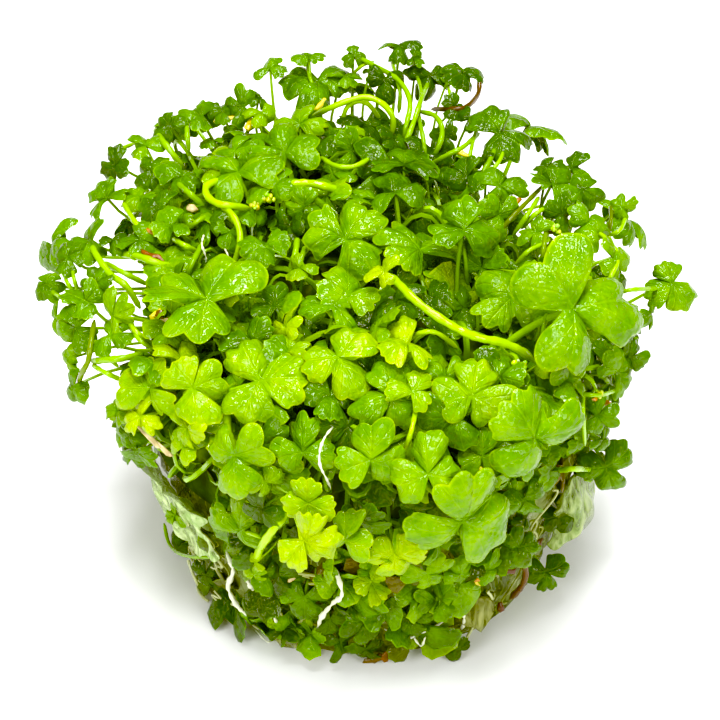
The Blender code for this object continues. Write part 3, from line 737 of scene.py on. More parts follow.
def leaf_finish(name, smooth, dull, see_through, vein_strength):
    """Glossy wet leaf skin that lets some light through from behind."""
    material, shader, knots = new_finish(name)
    pattern = knots.group(LEAF_PATTERN, {
        "Tone": knots.tone(), "Vein place": knots.add("UVMap", uv_map="vein").outputs["UV"],
        "Vein strength": vein_strength})
    film = knots.group(WET_FILM, {"Grain": 1300.0, "Smooth": smooth, "Dull": dull})
    height = knots.plus(knots.times(pattern["Height"], 0.8), film["Height"])
    knots.give(shader, {
        "Base Color": pattern["Colour"], "Roughness": film["Roughness"],
        "Normal": knots.bump(height, LEAF_RELIEF, 0.9), "Specular IOR Level": 0.42})
    glow = knots.add("BsdfTranslucent", {"Color": pattern["Colour"]})
    mixed = knots.add("MixShader", {0: see_through, 1: shader.outputs[0], 2: glow.outputs[0]})
    knots.give(material.node_tree.nodes["Material Output"], {"Surface": mixed.outputs[0]})
    return material


PRESSED_LEAF = leaf_finish("pressed_leaf", smooth=0.10, dull=0.26, see_through=0.15, vein_strength=0.15)


def leaf_tones(dice, leaf_tone, points, brown=0.0):
    """One tone for all points of a leaf: yellowness, a random value, and how brown it is."""
    count = len(leaf_tone)
    tone = np.stack((leaf_tone, dice.uniform(0, 1, count), np.full(count, brown), np.ones(count)), axis=1)
    return np.repeat(tone, len(points) // count, axis=0)


def turned_frame(up, reference, turn):
    """Axes of blades that face up, with their middle lobes turned away from a reference way."""
    along = square_to(up, reference)
    across = np.cross(up, along)
    spun = along * np.cos(turn)[:, None] + across * np.sin(turn)[:, None]
    return spun, np.cross(up, spun)


dice = np.random.default_rng(11)
wall_step = np.arange(WALL_LEAF_COUNT)
wall_level = dice.permutation((wall_step + 0.5) / WALL_LEAF_COUNT)
wall_height = (WALL_LEAF_LOW_MM + WALL_LEAF_SPAN_MM * wall_level) * MM
wall_around = wall_step * GOLDEN_ANGLE + dice.uniform(-0.06, 0.06, WALL_LEAF_COUNT)
wall_out = turned(1.0, wall_around, 0.0)
under_film = (np.abs(np.degrees(wall_around) % 360 - FILM_AROUND) < FILM_HALF_SPAN) & (wall_height > FILM_LOW)
wall_lift = np.where(under_film, FILM_SINK_MM, dice.uniform(*WALL_LEAF_LIFT_MM, WALL_LEAF_COUNT)) * MM
wall_hub = leaned(wall_out * (wall_radius(wall_height) + wall_lift)[:, None] + SKYWARD * wall_height[:, None])
wall_ease = np.where(under_film, 0.1, 1.0)[:, None]
wall_tip = dice.normal(0, WALL_LEAF_TIP, (WALL_LEAF_COUNT, 3))
wall_up = unit(wall_out + (wall_tip + SKYWARD * WALL_LEAF_SKYWARD) * wall_ease)
wall_along, wall_across = turned_frame(wall_up, -SKYWARD, dice.normal(0, WALL_LEAF_TURN, WALL_LEAF_COUNT))
wall_width = dice.uniform(*WALL_LEAF_WIDTH_MM, WALL_LEAF_COUNT) * MM
wall_leaves = Leaves(wall_hub, wall_along, wall_across, wall_up, wall_width)
wall_leaves = picked(wall_leaves, ~over_open_spot(wall_leaves))
wall_count = len(wall_leaves.width)
wall_form = leaf_forms(dice, wall_count, rise=(0.05, 0.40), curl=(0.4, 1.6), notch=(0.30, 0.60))
for key, ease in WALL_LEAF_EASE.items():
    wall_form[key] *= ease
wall_points, wall_faces, wall_veins = blade_shells(wall_leaves, wall_form, PRESSED_BLADE)
wall_points[:, 2] = np.maximum(wall_points[:, 2], WALL_LEAF_FLOOR)
wall_yellowness = 0.05 + 0.50 * dice.uniform(0, 1, wall_count) ** 1.4
wall_brown = WALL_LEAF_BROWNEST * dice.uniform(0, 1, wall_count) ** 6
wall_brown *= np.clip(wall_leaves.hub[:, 2] / BROWN_FROM_HEIGHT, 0.2, 1)
add_piece("pressed_leaves", [PRESSED_LEAF], wall_points, wall_faces,
          tone=leaf_tones(dice, wall_yellowness, wall_points, wall_brown), vein=wall_veins)

# The cushion's inside: stalks, shaded leaves and old stems grow so densely that only a dark green
# tangle is seen in the gaps between the leaves. It is one closed lumpy mass on top of the plug, deep
# green to nearly black as painted shade of that dense inside.
TANGLE_DEPTH = 9.0 * MM
TANGLE_LUMP = 1.5 * MM
TANGLE_LONG_LUMP = 7 * MM
TANGLE_SHORT_LUMP = 2.6 * MM
TANGLE_FREE_HEIGHT = 4 * MM
TANGLE_MIDDLE = (0, 0, 30 * MM)
TANGLE_AROUND = 220
TANGLE_EDGE_PIXELS = 66
# The tangle's greens, down to nearly black, are painted shade.
TANGLE_SHADE_GREENS = [
    (0.34, (0.004, 0.013, 0.0004, 1)), (0.52, (0.020, 0.052, 0.001, 1)), (0.70, (0.070, 0.140, 0.002, 1))]
BED_FLARE_STEPS = 12
BED_SHOULDER_STEPS = 24
# A point past the growth's edge goes inside it by an eighth of the way more
PAST_EDGE = 1.125
# No drop is more than this share of the height over the plug
DROP_SHARE = 0.6

# The edges of the dense growth in the picture: left and right by row of pixels, and top by column
GROWTH_ROWS = (40, 70, 100, 130, 160, 190, 220, 245, 290, 320, 350, 380, 410, 440, 470, 500, 540, 580,
               620, 660)
GROWTH_LEFT = (382, 264, 235, 170, 140, 132, 138, 142, 152, 152, 150, 122, 112, 114, 140, 156, 158, 182,
               225, 275)
GROWTH_RIGHT = (405, 484, 498, 520, 560, 585, 600, 622, 640, 648, 640, 628, 612, 614, 600, 596, 582, 548,
                496, 420)
GROWTH_COLUMNS = (84, 105, 150, 200, 250, 300, 330, 370, 430, 480, 520, 545, 575, 620, 640)
GROWTH_TOP = (240, 210, 172, 126, 108, 100, 110, 116, 148, 184, 224, 262, 242, 264, 300)


def cushion_line(depth):
    """The cushion's outline as radius and height pairs, upwards, at a depth under the leaf tips.

    The flare is a quarter sine wave, and the shoulder is a quarter of a superellipse, which ends
    in the middle of the top.
    """
    widest_radius = CUSHION_RADIUS - depth
    widest_height = CUSHION_WIDEST_HEIGHT - depth / 2
    top_height = CUSHION_TOP_HEIGHT - depth
    foot_radius = PLUG_TOP_RADIUS - CUSHION_FOOT_STEP * depth
    foot_height = PLUG_HEIGHT + GAP
    rise = np.linspace(0, 1, BED_FLARE_STEPS)[:-1]
    turn = np.linspace(0, math.pi / 2, BED_SHOULDER_STEPS)
    power = 2 / CUSHION_SHOULDER_POWER
    flare_radius = foot_radius + (widest_radius - foot_radius) * np.sin(rise * math.pi / 2)
    flare_height = foot_height + (widest_height - foot_height) * rise
    shoulder_radius = widest_radius * np.abs(np.cos(turn)) ** power
    shoulder_height = widest_height + (top_height - widest_height) * np.sin(turn) ** power
    radii = np.concatenate((flare_radius, shoulder_radius))
    radii[-1] = 0
    return np.stack((radii, np.concatenate((flare_height, shoulder_height))), axis=1)


def shift_inside(points, margin):
    """Sideways shift in metres that brings points inside the growth's edges by a margin in pixels."""
    pixel_x, pixel_y, depth = picture_place(points)
    left = np.interp(pixel_y, GROWTH_ROWS, GROWTH_LEFT) + margin
    right = np.interp(pixel_y, GROWTH_ROWS, GROWTH_RIGHT) - margin
    over = np.maximum(left - pixel_x, 0) - np.maximum(pixel_x - right, 0)
    return over * PAST_EDGE * depth / PHOTO_SLOPE_PIXELS


def drop_inside(points, margin):
    """Drop in metres that brings points under the growth's top edge by a margin in pixels."""
    pixel_x, pixel_y, depth = picture_place(points)
    over = np.maximum(np.interp(pixel_x, GROWTH_COLUMNS, GROWTH_TOP) + margin - pixel_y, 0)
    return over * depth / PHOTO_SLOPE_PIXELS / math.cos(EYE_ELEVATION)


def shaded_tangle_finish():
    """Deep green to nearly black, as painted shade of the dense inside, with hints of stalks."""
    material, shader, knots = new_finish("tangle")
    noise = knots.noise(knots.place(), 330.0, 4.0)
    knots.give(shader, {
        "Base Color": knots.ramp(noise, TANGLE_SHADE_GREENS), "Normal": knots.bump(noise, 0.0006),
        "Roughness": 0.55, "Specular IOR Level": 0.2})
    return material


SHADED_TANGLE = shaded_tangle_finish()

tangle_line = cushion_line(TANGLE_DEPTH)[:-1]
tangle_around = np.linspace(0, 2 * math.pi, TANGLE_AROUND, endpoint=False)
tangle_points = turned(tangle_line[:, :1], tangle_around, tangle_line[:, 1:]).reshape(-1, 3)
tangle_ways = unit(tangle_points - TANGLE_MIDDLE)
tangle_lumps = ripples(tangle_points, TANGLE_LONG_LUMP, 21)
tangle_lumps += 0.5 * ripples(tangle_points, TANGLE_SHORT_LUMP, 22)
tangle_free = np.clip((tangle_points[:, 2] - PLUG_HEIGHT - GAP) / TANGLE_FREE_HEIGHT, 0, 1)
tangle_points = leaned(tangle_points + tangle_ways * (tangle_lumps * tangle_free * TANGLE_LUMP)[:, None])
tangle_points[:, 0] += shift_inside(tangle_points, TANGLE_EDGE_PIXELS) * tangle_free
tangle_drop = np.minimum(drop_inside(tangle_points, TANGLE_EDGE_PIXELS),
                         (tangle_points[:, 2] - PLUG_HEIGHT - GAP) * DROP_SHARE)
tangle_points[:, 2] -= tangle_drop * tangle_free
tangle_foot = (lean_at(PLUG_HEIGHT), 0, PLUG_HEIGHT + GAP)
tangle_top = (lean_at(CUSHION_TOP_HEIGHT), 0, tangle_points[-TANGLE_AROUND:, 2].mean())
tangle_points = np.concatenate(([tangle_foot], tangle_points, [tangle_top]))
add_piece("cushion_inside", [SHADED_TANGLE], tangle_points,
          turned_grid(len(tangle_line), TANGLE_AROUND), ["leaf_cushion"])

# The standing leaves: each is one blade grown with its stalk, placed where the picture shows it.
# A leaf is given by its hub's pixel, the heading of its middle lobe in the picture, its width, its
# lift over the bed, its tips to the right and upwards in degrees, and its tone from dark to lime.
STALK_DEPTH = 7.0 * MM
# Where the feet of stalks are hidden: pixels inside the growth's sides and its top edge
STALK_SIDE_PIXELS = TANGLE_EDGE_PIXELS + 14
STALK_TOP_PIXELS = TANGLE_EDGE_PIXELS + 8
STANDING_FLOOR = 0.1 * MM
# A stalk starts this share of its radius under the hub and aims back and down by shares of the width
HUB_SINK = 0.7
AIM_BACK = 0.5
AIM_DOWN = 0.3
# It leaves the blade down and a little back. Its two bends are shares of its length
LEAVE_BACK = 0.35
HUB_BEND = 0.45
FOOT_BEND = 0.35
STALK_TAPER = (0.9, 1.25)
STALK_RELIEF = 0.06 * MM
# How much a leaf faces straight out of the bed against the eye, and a far one upwards. A blade
# that is seen from its edge counts as turned to the eye by the least share
FACE_OUT = 1.2
FAR_SKYWARD = 0.7
LEAST_EYE_SHARE = 0.3
FAR_TONE = 0.42
# The search along a sight line: how far before and behind the target it goes, and its finest steps
SIGHT_MARGIN = 60 * MM
SIGHT_CLOSE = 0.02 * MM
SIGHT_STEP = 0.1 * MM
STALK_GREENS = [
    (0.0, (0.045, 0.110, 0.001, 1)), (0.4, (0.16, 0.34, 0.002, 1)), (0.75, (0.24, 0.47, 0.002, 1)),
    (1.0, (0.38, 0.61, 0.004, 1))]
STALK_BROWN = (0.085, 0.022, 0.010, 1)
STANDING_BLADE = BladeMake(31, (0.12, 0.25, 0.38, 0.51, 0.64, 0.76, 0.87, 0.95, 1.0), (0.4, 0.8), 0.34 * MM)
# How a stalk is made: its radius as a share of its leaf's width and between two limits, its steps and sides
StalkMake = namedtuple("StalkMake", "share thinnest thickest steps sides")
STANDING_STALK = StalkMake(0.03, 0.2 * MM, 0.42 * MM, 12, 8)

Leaf = namedtuple("Leaf", "photo_x photo_y heading width_mm lift_mm tip_right tip_up tone")

PHOTO_LEAVES = [
    # The middle of the top
    Leaf(260, 381, 5, 10.0, 2.6, -8, 6, 0.70),
    Leaf(338, 357, -60, 8.6, 4.0, 6, -6, 0.76),
    Leaf(334, 306, 60, 7.6, 2.6, 0, 12, 0.55),
    Leaf(275, 307, 92, 5.8, 2.2, 10, 0, 0.30),
    Leaf(253, 342, 180, 6.4, 2.2, -14, -8, 0.36),
    Leaf(390, 396, 200, 8.6, 2.4, 12, -6, 0.56),
    Leaf(345, 240, 50, 10.0, 2.8, -6, 10, 0.56),
    Leaf(420, 250, 135, 9.2, 2.2, 8, 8, 0.54),
    Leaf(464, 230, 95, 8.2, 6.2, 10, 0, 0.42),
    # The right side
    Leaf(511, 298, 228, 9.0, 2.0, 0, 4, 0.56),
    Leaf(573, 309, 12, 15.6, 7.8, 8, -8, 0.56),
    Leaf(671, 283, 205, 6.6, 3.4, -30, 0, 0.56),
    Leaf(618, 372, 60, 6.0, 2.0, 16, 0, 0.50),
    Leaf(472, 396, 80, 8.0, 2.6, -6, 6, 0.70),
    Leaf(535, 438, 15, 12.0, 6.4, 10, -6, 0.56),
    Leaf(482, 456, 90, 6.0, 1.9, 0, 0, 0.56),
    Leaf(606, 467, -72, 7.2, 4.0, -28, 0, 0.38),
    # The front
    Leaf(428, 474, 95, 8.4, 5.2, -8, 4, 0.62),
    Leaf(370, 460, 88, 8.2, 3.6, 8, 6, 0.58),
    Leaf(303, 452, 92, 7.4, 1.9, -6, 12, 0.52),
    Leaf(235, 456, -85, 9.0, 4.0, -10, -4, 0.62),
    Leaf(240, 530, 170, 8.4, 2.6, -14, -8, 0.62),
    Leaf(308, 503, 92, 5.4, 4.6, 0, 10, 0.80),
    Leaf(304, 540, -20, 8.0, 7.4, 6, -10, 0.95),
    Leaf(394, 553, -88, 7.0, 3.6, 4, -8, 0.84),
    Leaf(462, 522, -20, 12.4, 5.8, 10, -10, 0.58),
    # The left side
    Leaf(207, 299, 165, 11.6, 5.2, -4, 8, 0.58),
    Leaf(150, 388, 180, 7.6, 2.4, -16, 0, 0.74),
    Leaf(47, 284, 215, 5.0, 3.6, 8, 12, 0.40),
    Leaf(90, 240, 200, 5.6, 2.8, 0, 14, 0.36),
    Leaf(76, 328, 205, 6.4, 3.2, 5, 0, 0.42),
    Leaf(136, 450, 250, 5.6, 2.2, -18, -6, 0.46),
    Leaf(107, 198, 120, 6.4, 2.4, -18, 18, 0.40),
    Leaf(238, 172, 130, 9.4, 3.0, -8, 16, 0.52),
    # The far rim
    Leaf(270, 68, 80, 4.8, 4.4, 0, 20, 0.46),
    Leaf(318, 82, -85, 9.6, 2.6, 0, 16, 0.40),
    Leaf(400, 45, -88, 5.6, 5.0, 0, 10, 0.26),
    Leaf(300, 124, 90, 6.6, 2.4, 0, 10, 0.66),
    Leaf(404, 164, 90, 7.0, 2.0, 0, 14, 0.30),
    Leaf(463, 72, -92, 6.2, 4.2, 4, 10, 0.18),
    Leaf(500, 133, 5, 8.2, 3.4, 8, 12, 0.28),
    Leaf(552, 184, 70, 6.6, 2.4, 18, 16, 0.34),
    # Two strays that hang close to the ground
    Leaf(546, 572, -82, 5.0, 2.2, -12, 6, 0.20),
    Leaf(455, 650, -80, 4.4, 2.4, 0, -6, 0.14),
]
# The yellow-green leaves of the front, rounder and more quilted than the others
BRIGHT_CLUSTER = [22, 23]
BRIGHT_FORM = {"tooth_rate": 2.5, "tooth_depth": 0.10, "corner": 9.0, "quilt": 0.045}

# A leaf on the far side: its compass angle (0 is +X, 90 is away from the eye), height, width and lift
FarLeaf = namedtuple("FarLeaf", "around height_mm width_mm lift_mm")

FAR_LEAVES = [
    FarLeaf(20, 40, 8.6, 3.2),
    FarLeaf(38, 30, 7.6, 2.4),
    FarLeaf(52, 42, 9.4, 4.2),
    FarLeaf(72, 33, 8.8, 2.6),
    FarLeaf(90, 43, 8.0, 4.2),
    FarLeaf(106, 31, 9.2, 3.2),
    FarLeaf(124, 42, 9.0, 4.0),
    FarLeaf(144, 33, 8.2, 2.6),
    FarLeaf(172, 42, 8.0, 3.8),
]

# The bed: the level that the stalks rise from, as one line from the foot to the middle of the top
plug_levels = np.linspace(0, PLUG_HEIGHT, 6)
BED_LINE = np.concatenate((np.stack((wall_radius(plug_levels), plug_levels), axis=1), cushion_line(LEAF_LAYER)))


def bed_distance(points):
    """Distance of points from the bed, negative inside it, and the way straight out of it."""
    sideways = points[:, 0] - lean_at(points[:, 2])
    radius = np.hypot(sideways, points[:, 1])
    spot = np.stack((radius, points[:, 2]), axis=1)
    starts = BED_LINE[:-1]
    runs = BED_LINE[1:] - starts
    share = ((spot[:, None, :] - starts) * runs).sum(axis=2) / (runs * runs).sum(axis=1)
    offsets = spot[:, None, :] - (starts + runs * np.clip(share, 0, 1)[:, :, None])
    lengths = np.linalg.norm(offsets, axis=2)
    best = lengths.argmin(axis=1)
    row = np.arange(len(points))
    out = unit(np.stack((runs[best, 1], -runs[best, 0]), axis=1))
    side = np.where((offsets[row, best] * out).sum(axis=1) >= 0, 1.0, -1.0)
    radial = np.stack((sideways, points[:, 1]), axis=1) / np.maximum(radius, 1e-9)[:, None]
    return side * lengths[row, best], np.concatenate((radial * out[:, :1], out[:, 1:]), axis=1)


def photo_spots(photo_x, photo_y, lift):
    """Where the sight lines through pixels meet the level that is lift above the bed, and the way out.

    Each line is walked in steps as long as the distance that is left. A line that passes clear
    of the plant gives its point closest to it.
    """
    slope_x = (photo_x - PHOTO_CENTRE) / PHOTO_SLOPE_PIXELS
    slope_y = (PHOTO_CENTRE - photo_y) / PHOTO_SLOPE_PIXELS
    sight = unit(RIGHT * slope_x[:, None] + UP * slope_y[:, None] - TO_EYE)
    reach = np.full(len(sight), EYE_DISTANCE - SIGHT_MARGIN)
    closest = np.ones(len(sight))
    best_reach = reach.copy()
    moving = np.ones(len(sight), bool)
    while moving.any():
        over = bed_distance(EYE + sight * reach[:, None])[0] - lift
        nearer = moving & (over < closest)
        closest[nearer] = over[nearer]
        best_reach[nearer] = reach[nearer]
        moving &= over >= SIGHT_CLOSE
        reach = np.where(moving, reach + np.maximum(over, SIGHT_STEP), reach)
        moving &= reach < EYE_DISTANCE + SIGHT_MARGIN
    spots = EYE + sight * best_reach[:, None]
    return spots, bed_distance(spots)[1]


def stalk_tubes(routes, radii, sides):
    """Points and faces of closed round tubes along routes, for all stalks at once.

    Each ring stands square to its route. Its first point lies on the side that is square to the
    plane in which the whole stalk bends, so the rings don't twist.
    """
    count, steps = routes.shape[:2]
    way = np.empty_like(routes)
    way[:, 1:-1] = routes[:, 2:] - routes[:, :-2]
    way[:, 0] = routes[:, 1] - routes[:, 0]
    way[:, -1] = routes[:, -1] - routes[:, -2]
    way = unit(way)
    bend = np.cross(routes[:, steps // 2] - routes[:, 0], routes[:, -1] - routes[:, 0])
    spare = np.cross(way[:, 0], np.where(np.abs(way[:, 0, 2:]) > 0.8, RIGHT, SKYWARD))
    bend = np.where(np.linalg.norm(bend, axis=1, keepdims=True) > 1e-9, unit(bend), unit(spare))[:, None, :]
    side = square_to(way, bend)
    other = np.cross(way, side)
    turn = np.linspace(0, 2 * math.pi, sides, endpoint=False)[:, None]
    points = routes[:, :, None, :] + radii[:, :, None, None] * (
        side[:, :, None, :] * np.cos(turn) + other[:, :, None, :] * np.sin(turn))
    corner = np.arange(sides)
    start = (np.arange(count) * steps * sides)[:, None, None]
    quads = (start + ring_quads(steps, sides)).reshape(-1, 4)
    foot_cap = (start[:, :, 0] + corner[::-1]).reshape(-1, sides)
    tip_cap = (start[:, :, 0] + (steps - 1) * sides + corner).reshape(-1, sides)
    return points.reshape(-1, 3), [quads, foot_cap, tip_cap]


def cubic(start, second, third, end, steps):
    """Bezier routes: they leave start towards second and reach end from third."""
    share = np.linspace(0, 1, steps)[None, :, None]
    back = 1 - share
    return (start[:, None] * back ** 3 + second[:, None] * 3 * back * back * share
            + third[:, None] * 3 * back * share * share + end[:, None] * share ** 3)


def leaf_stalks(leaves, make, sway=0.0):
    """Stalks from under each hub, which bend back from the middle lobe and go down into the cushion."""
    radius = np.clip(leaves.width * make.share, make.thinnest, make.thickest)[:, None]
    width = leaves.width[:, None]
    start = leaves.hub - leaves.up * radius * HUB_SINK
    aim = leaves.hub - leaves.along * width * AIM_BACK - leaves.up * width * AIM_DOWN + sway
    distance, out = bed_distance(aim)
    foot = aim - out * (distance + STALK_DEPTH)[:, None]
    foot[:, 0] += shift_inside(foot, STALK_SIDE_PIXELS)
    over_plug = np.maximum(foot[:, 2] - PLUG_HEIGHT, 0)
    foot[:, 2] -= np.minimum(drop_inside(foot, STALK_TOP_PIXELS), over_plug * DROP_SHARE)
    length = np.linalg.norm(foot - start, axis=1)[:, None]
    leaving = unit(-leaves.up - leaves.along * LEAVE_BACK)
    routes = cubic(start, start + leaving * length * HUB_BEND,
                   foot + out * length * FOOT_BEND, foot, make.steps)
    return stalk_tubes(routes, radius * np.linspace(*STALK_TAPER, make.steps), make.sides)


def stalk_finish():
    """Smooth wet lime stalk: pale along its length in streaks, brown where its tone says so."""
    material, shader, knots = new_finish("stalk")
    tone = knots.add("SeparateColor", {0: knots.tone()}).outputs
    streak = knots.times(knots.minus(knots.noise(knots.place(), 500.0), 0.5), 0.3)
    green = knots.ramp(knots.plus(tone[0], streak, clamp=True), STALK_GREENS)
    film = knots.group(WET_FILM, {"Smooth": 0.18})
    knots.give(shader, {
        "Base Color": knots.blend(tone[2], green, STALK_BROWN), "Roughness": film["Roughness"],
        "Normal": knots.bump(film["Height"], STALK_RELIEF), "Specular IOR Level": 0.42})
    return material


STANDING_LEAF = leaf_finish("standing_leaf", smooth=0.10, dull=0.28, see_through=0.25, vein_strength=0.26)
STALK = stalk_finish()


def photo_leaf_crop(listed):
    """Place and axes of listed leaves: they face between straight out of the bed and the eye."""
    table = np.array([row[:7] for row in listed], float)
    photo_x, photo_y, heading, width_mm, lift_mm, tip_right, tip_up = table.T
    hub, out = photo_spots(photo_x, photo_y, lift_mm * MM)
    tip = RIGHT * np.tan(np.radians(tip_right))[:, None] + UP * np.tan(np.radians(tip_up))[:, None]
    up = unit(unit(out * FACE_OUT + TO_EYE) + tip)
    heading = np.radians(heading)[:, None]
    wanted = RIGHT * np.cos(heading) + UP * np.sin(heading)
    eye_share = np.maximum(up @ TO_EYE, LEAST_EYE_SHARE)[:, None]
    along = wanted - TO_EYE * ((wanted * up).sum(axis=1, keepdims=True) / eye_share)
    along = square_to(up, along)
    return Leaves(hub, along, np.cross(up, along), up, width_mm * MM)


def far_leaf_crop(listed):
    """Place and axes of leaves round the far side, which face out and up, their middle lobes hanging."""
    around, height_mm, width_mm, lift_mm = np.array(listed, float).T
    radial = turned(1.0, np.radians(around), 0.0)
    start = leaned(radial * CUSHION_RADIUS + SKYWARD * (height_mm * MM)[:, None])
    distance, out = bed_distance(start)
    hub = start + out * (lift_mm * MM - distance)[:, None]
    up = unit(out + SKYWARD * FAR_SKYWARD)
    along = square_to(up, radial)
    return Leaves(hub, along, np.cross(up, along), up, width_mm * MM)


def turned_away(leaves):
    """How far the bed under each leaf turns away from the eye: 0 where it faces it, 1 at the rim and behind."""
    out = bed_distance(leaves.hub)[1]
    return np.clip(1.05 - out @ TO_EYE * 1.4, 0, 1)[:, None]


def joined(crops):
    """Several crops of leaves as one."""
    return Leaves(*(np.concatenate(parts) for parts in zip(*crops)))


def add_leaves(name, finishes, leaves, form, dice, tones, makes, sway=0.0, replaced=(), floor=0.0):
    """Leaves with their stalks as one piece. Tones and makes are the blades' and then the stalks'."""
    blade_points, blade_faces, blade_veins = blade_shells(leaves, form, makes[0])
    stalk_points, stalk_faces = leaf_stalks(leaves, makes[1], sway)
    points = np.concatenate((blade_points, stalk_points))
    points[:, 2] = np.maximum(points[:, 2], floor)
    tone = np.concatenate((leaf_tones(dice, tones[0], blade_points), leaf_tones(dice, tones[1], stalk_points)))
    vein = np.concatenate((blade_veins, np.zeros((len(stalk_points), 2))))
    faces = blade_faces + [group + len(blade_points) for group in stalk_faces]
    add_piece(name, finishes, points, faces, replaced, tone, vein, (0, 0, 1, 1, 1))


standing = photo_leaf_crop(PHOTO_LEAVES)
standing_far = far_leaf_crop(FAR_LEAVES)
all_standing = joined((standing, standing_far))
dice = np.random.default_rng(5)
standing_names = [f"leaf_{number + 1:02d}" for number in range(len(PHOTO_LEAVES))]
standing_names += [f"leaf_far_{number + 1:02d}" for number in range(len(FAR_LEAVES))]
standing_tones = np.array([leaf.tone for leaf in PHOTO_LEAVES] + [FAR_TONE] * len(FAR_LEAVES))
standing_form = leaf_forms(dice, len(standing_names))
standing_form["curl"] += 0.3 * turned_away(all_standing)
for key, value in BRIGHT_FORM.items():
    standing_form[key][BRIGHT_CLUSTER] = value
for number, node_name in enumerate(standing_names):
    this = slice(number, number + 1)
    tone = standing_tones[this]
    add_leaves("standing_" + node_name, [STANDING_LEAF, STALK], picked(all_standing, this),
               picked_form(standing_form, this), dice, (tone, 0.35 + 0.5 * tone),
               (STANDING_BLADE, STANDING_STALK), replaced=[node_name], floor=STANDING_FLOOR)

# Further leaves that the picture shows one by one, smaller or deeper than the standing ones.
# A leaf is given by its hub's pixel, its width, its lift over the bed, its tone, and its heading,
# which is left out where its middle lobe simply points away from the growth's middle.
FURTHER_BLADE = BladeMake(17, (0.2, 0.42, 0.64, 0.84, 1.0), (), 0.3 * MM)
SMALL_STALK = StalkMake(0.042, 0.17 * MM, 0.32 * MM, 7, 5)
GROWTH_MIDDLE = (368.0, 335.0)
HEADING_SPREAD = 30
TIP_SPREAD = 17
SMALL_LEAF = leaf_finish("small_leaf", smooth=0.11, dull=0.30, see_through=0.25, vein_strength=0.20)

FurtherLeaf = namedtuple("FurtherLeaf", "photo_x photo_y width_mm lift_mm tone heading", defaults=(None,))

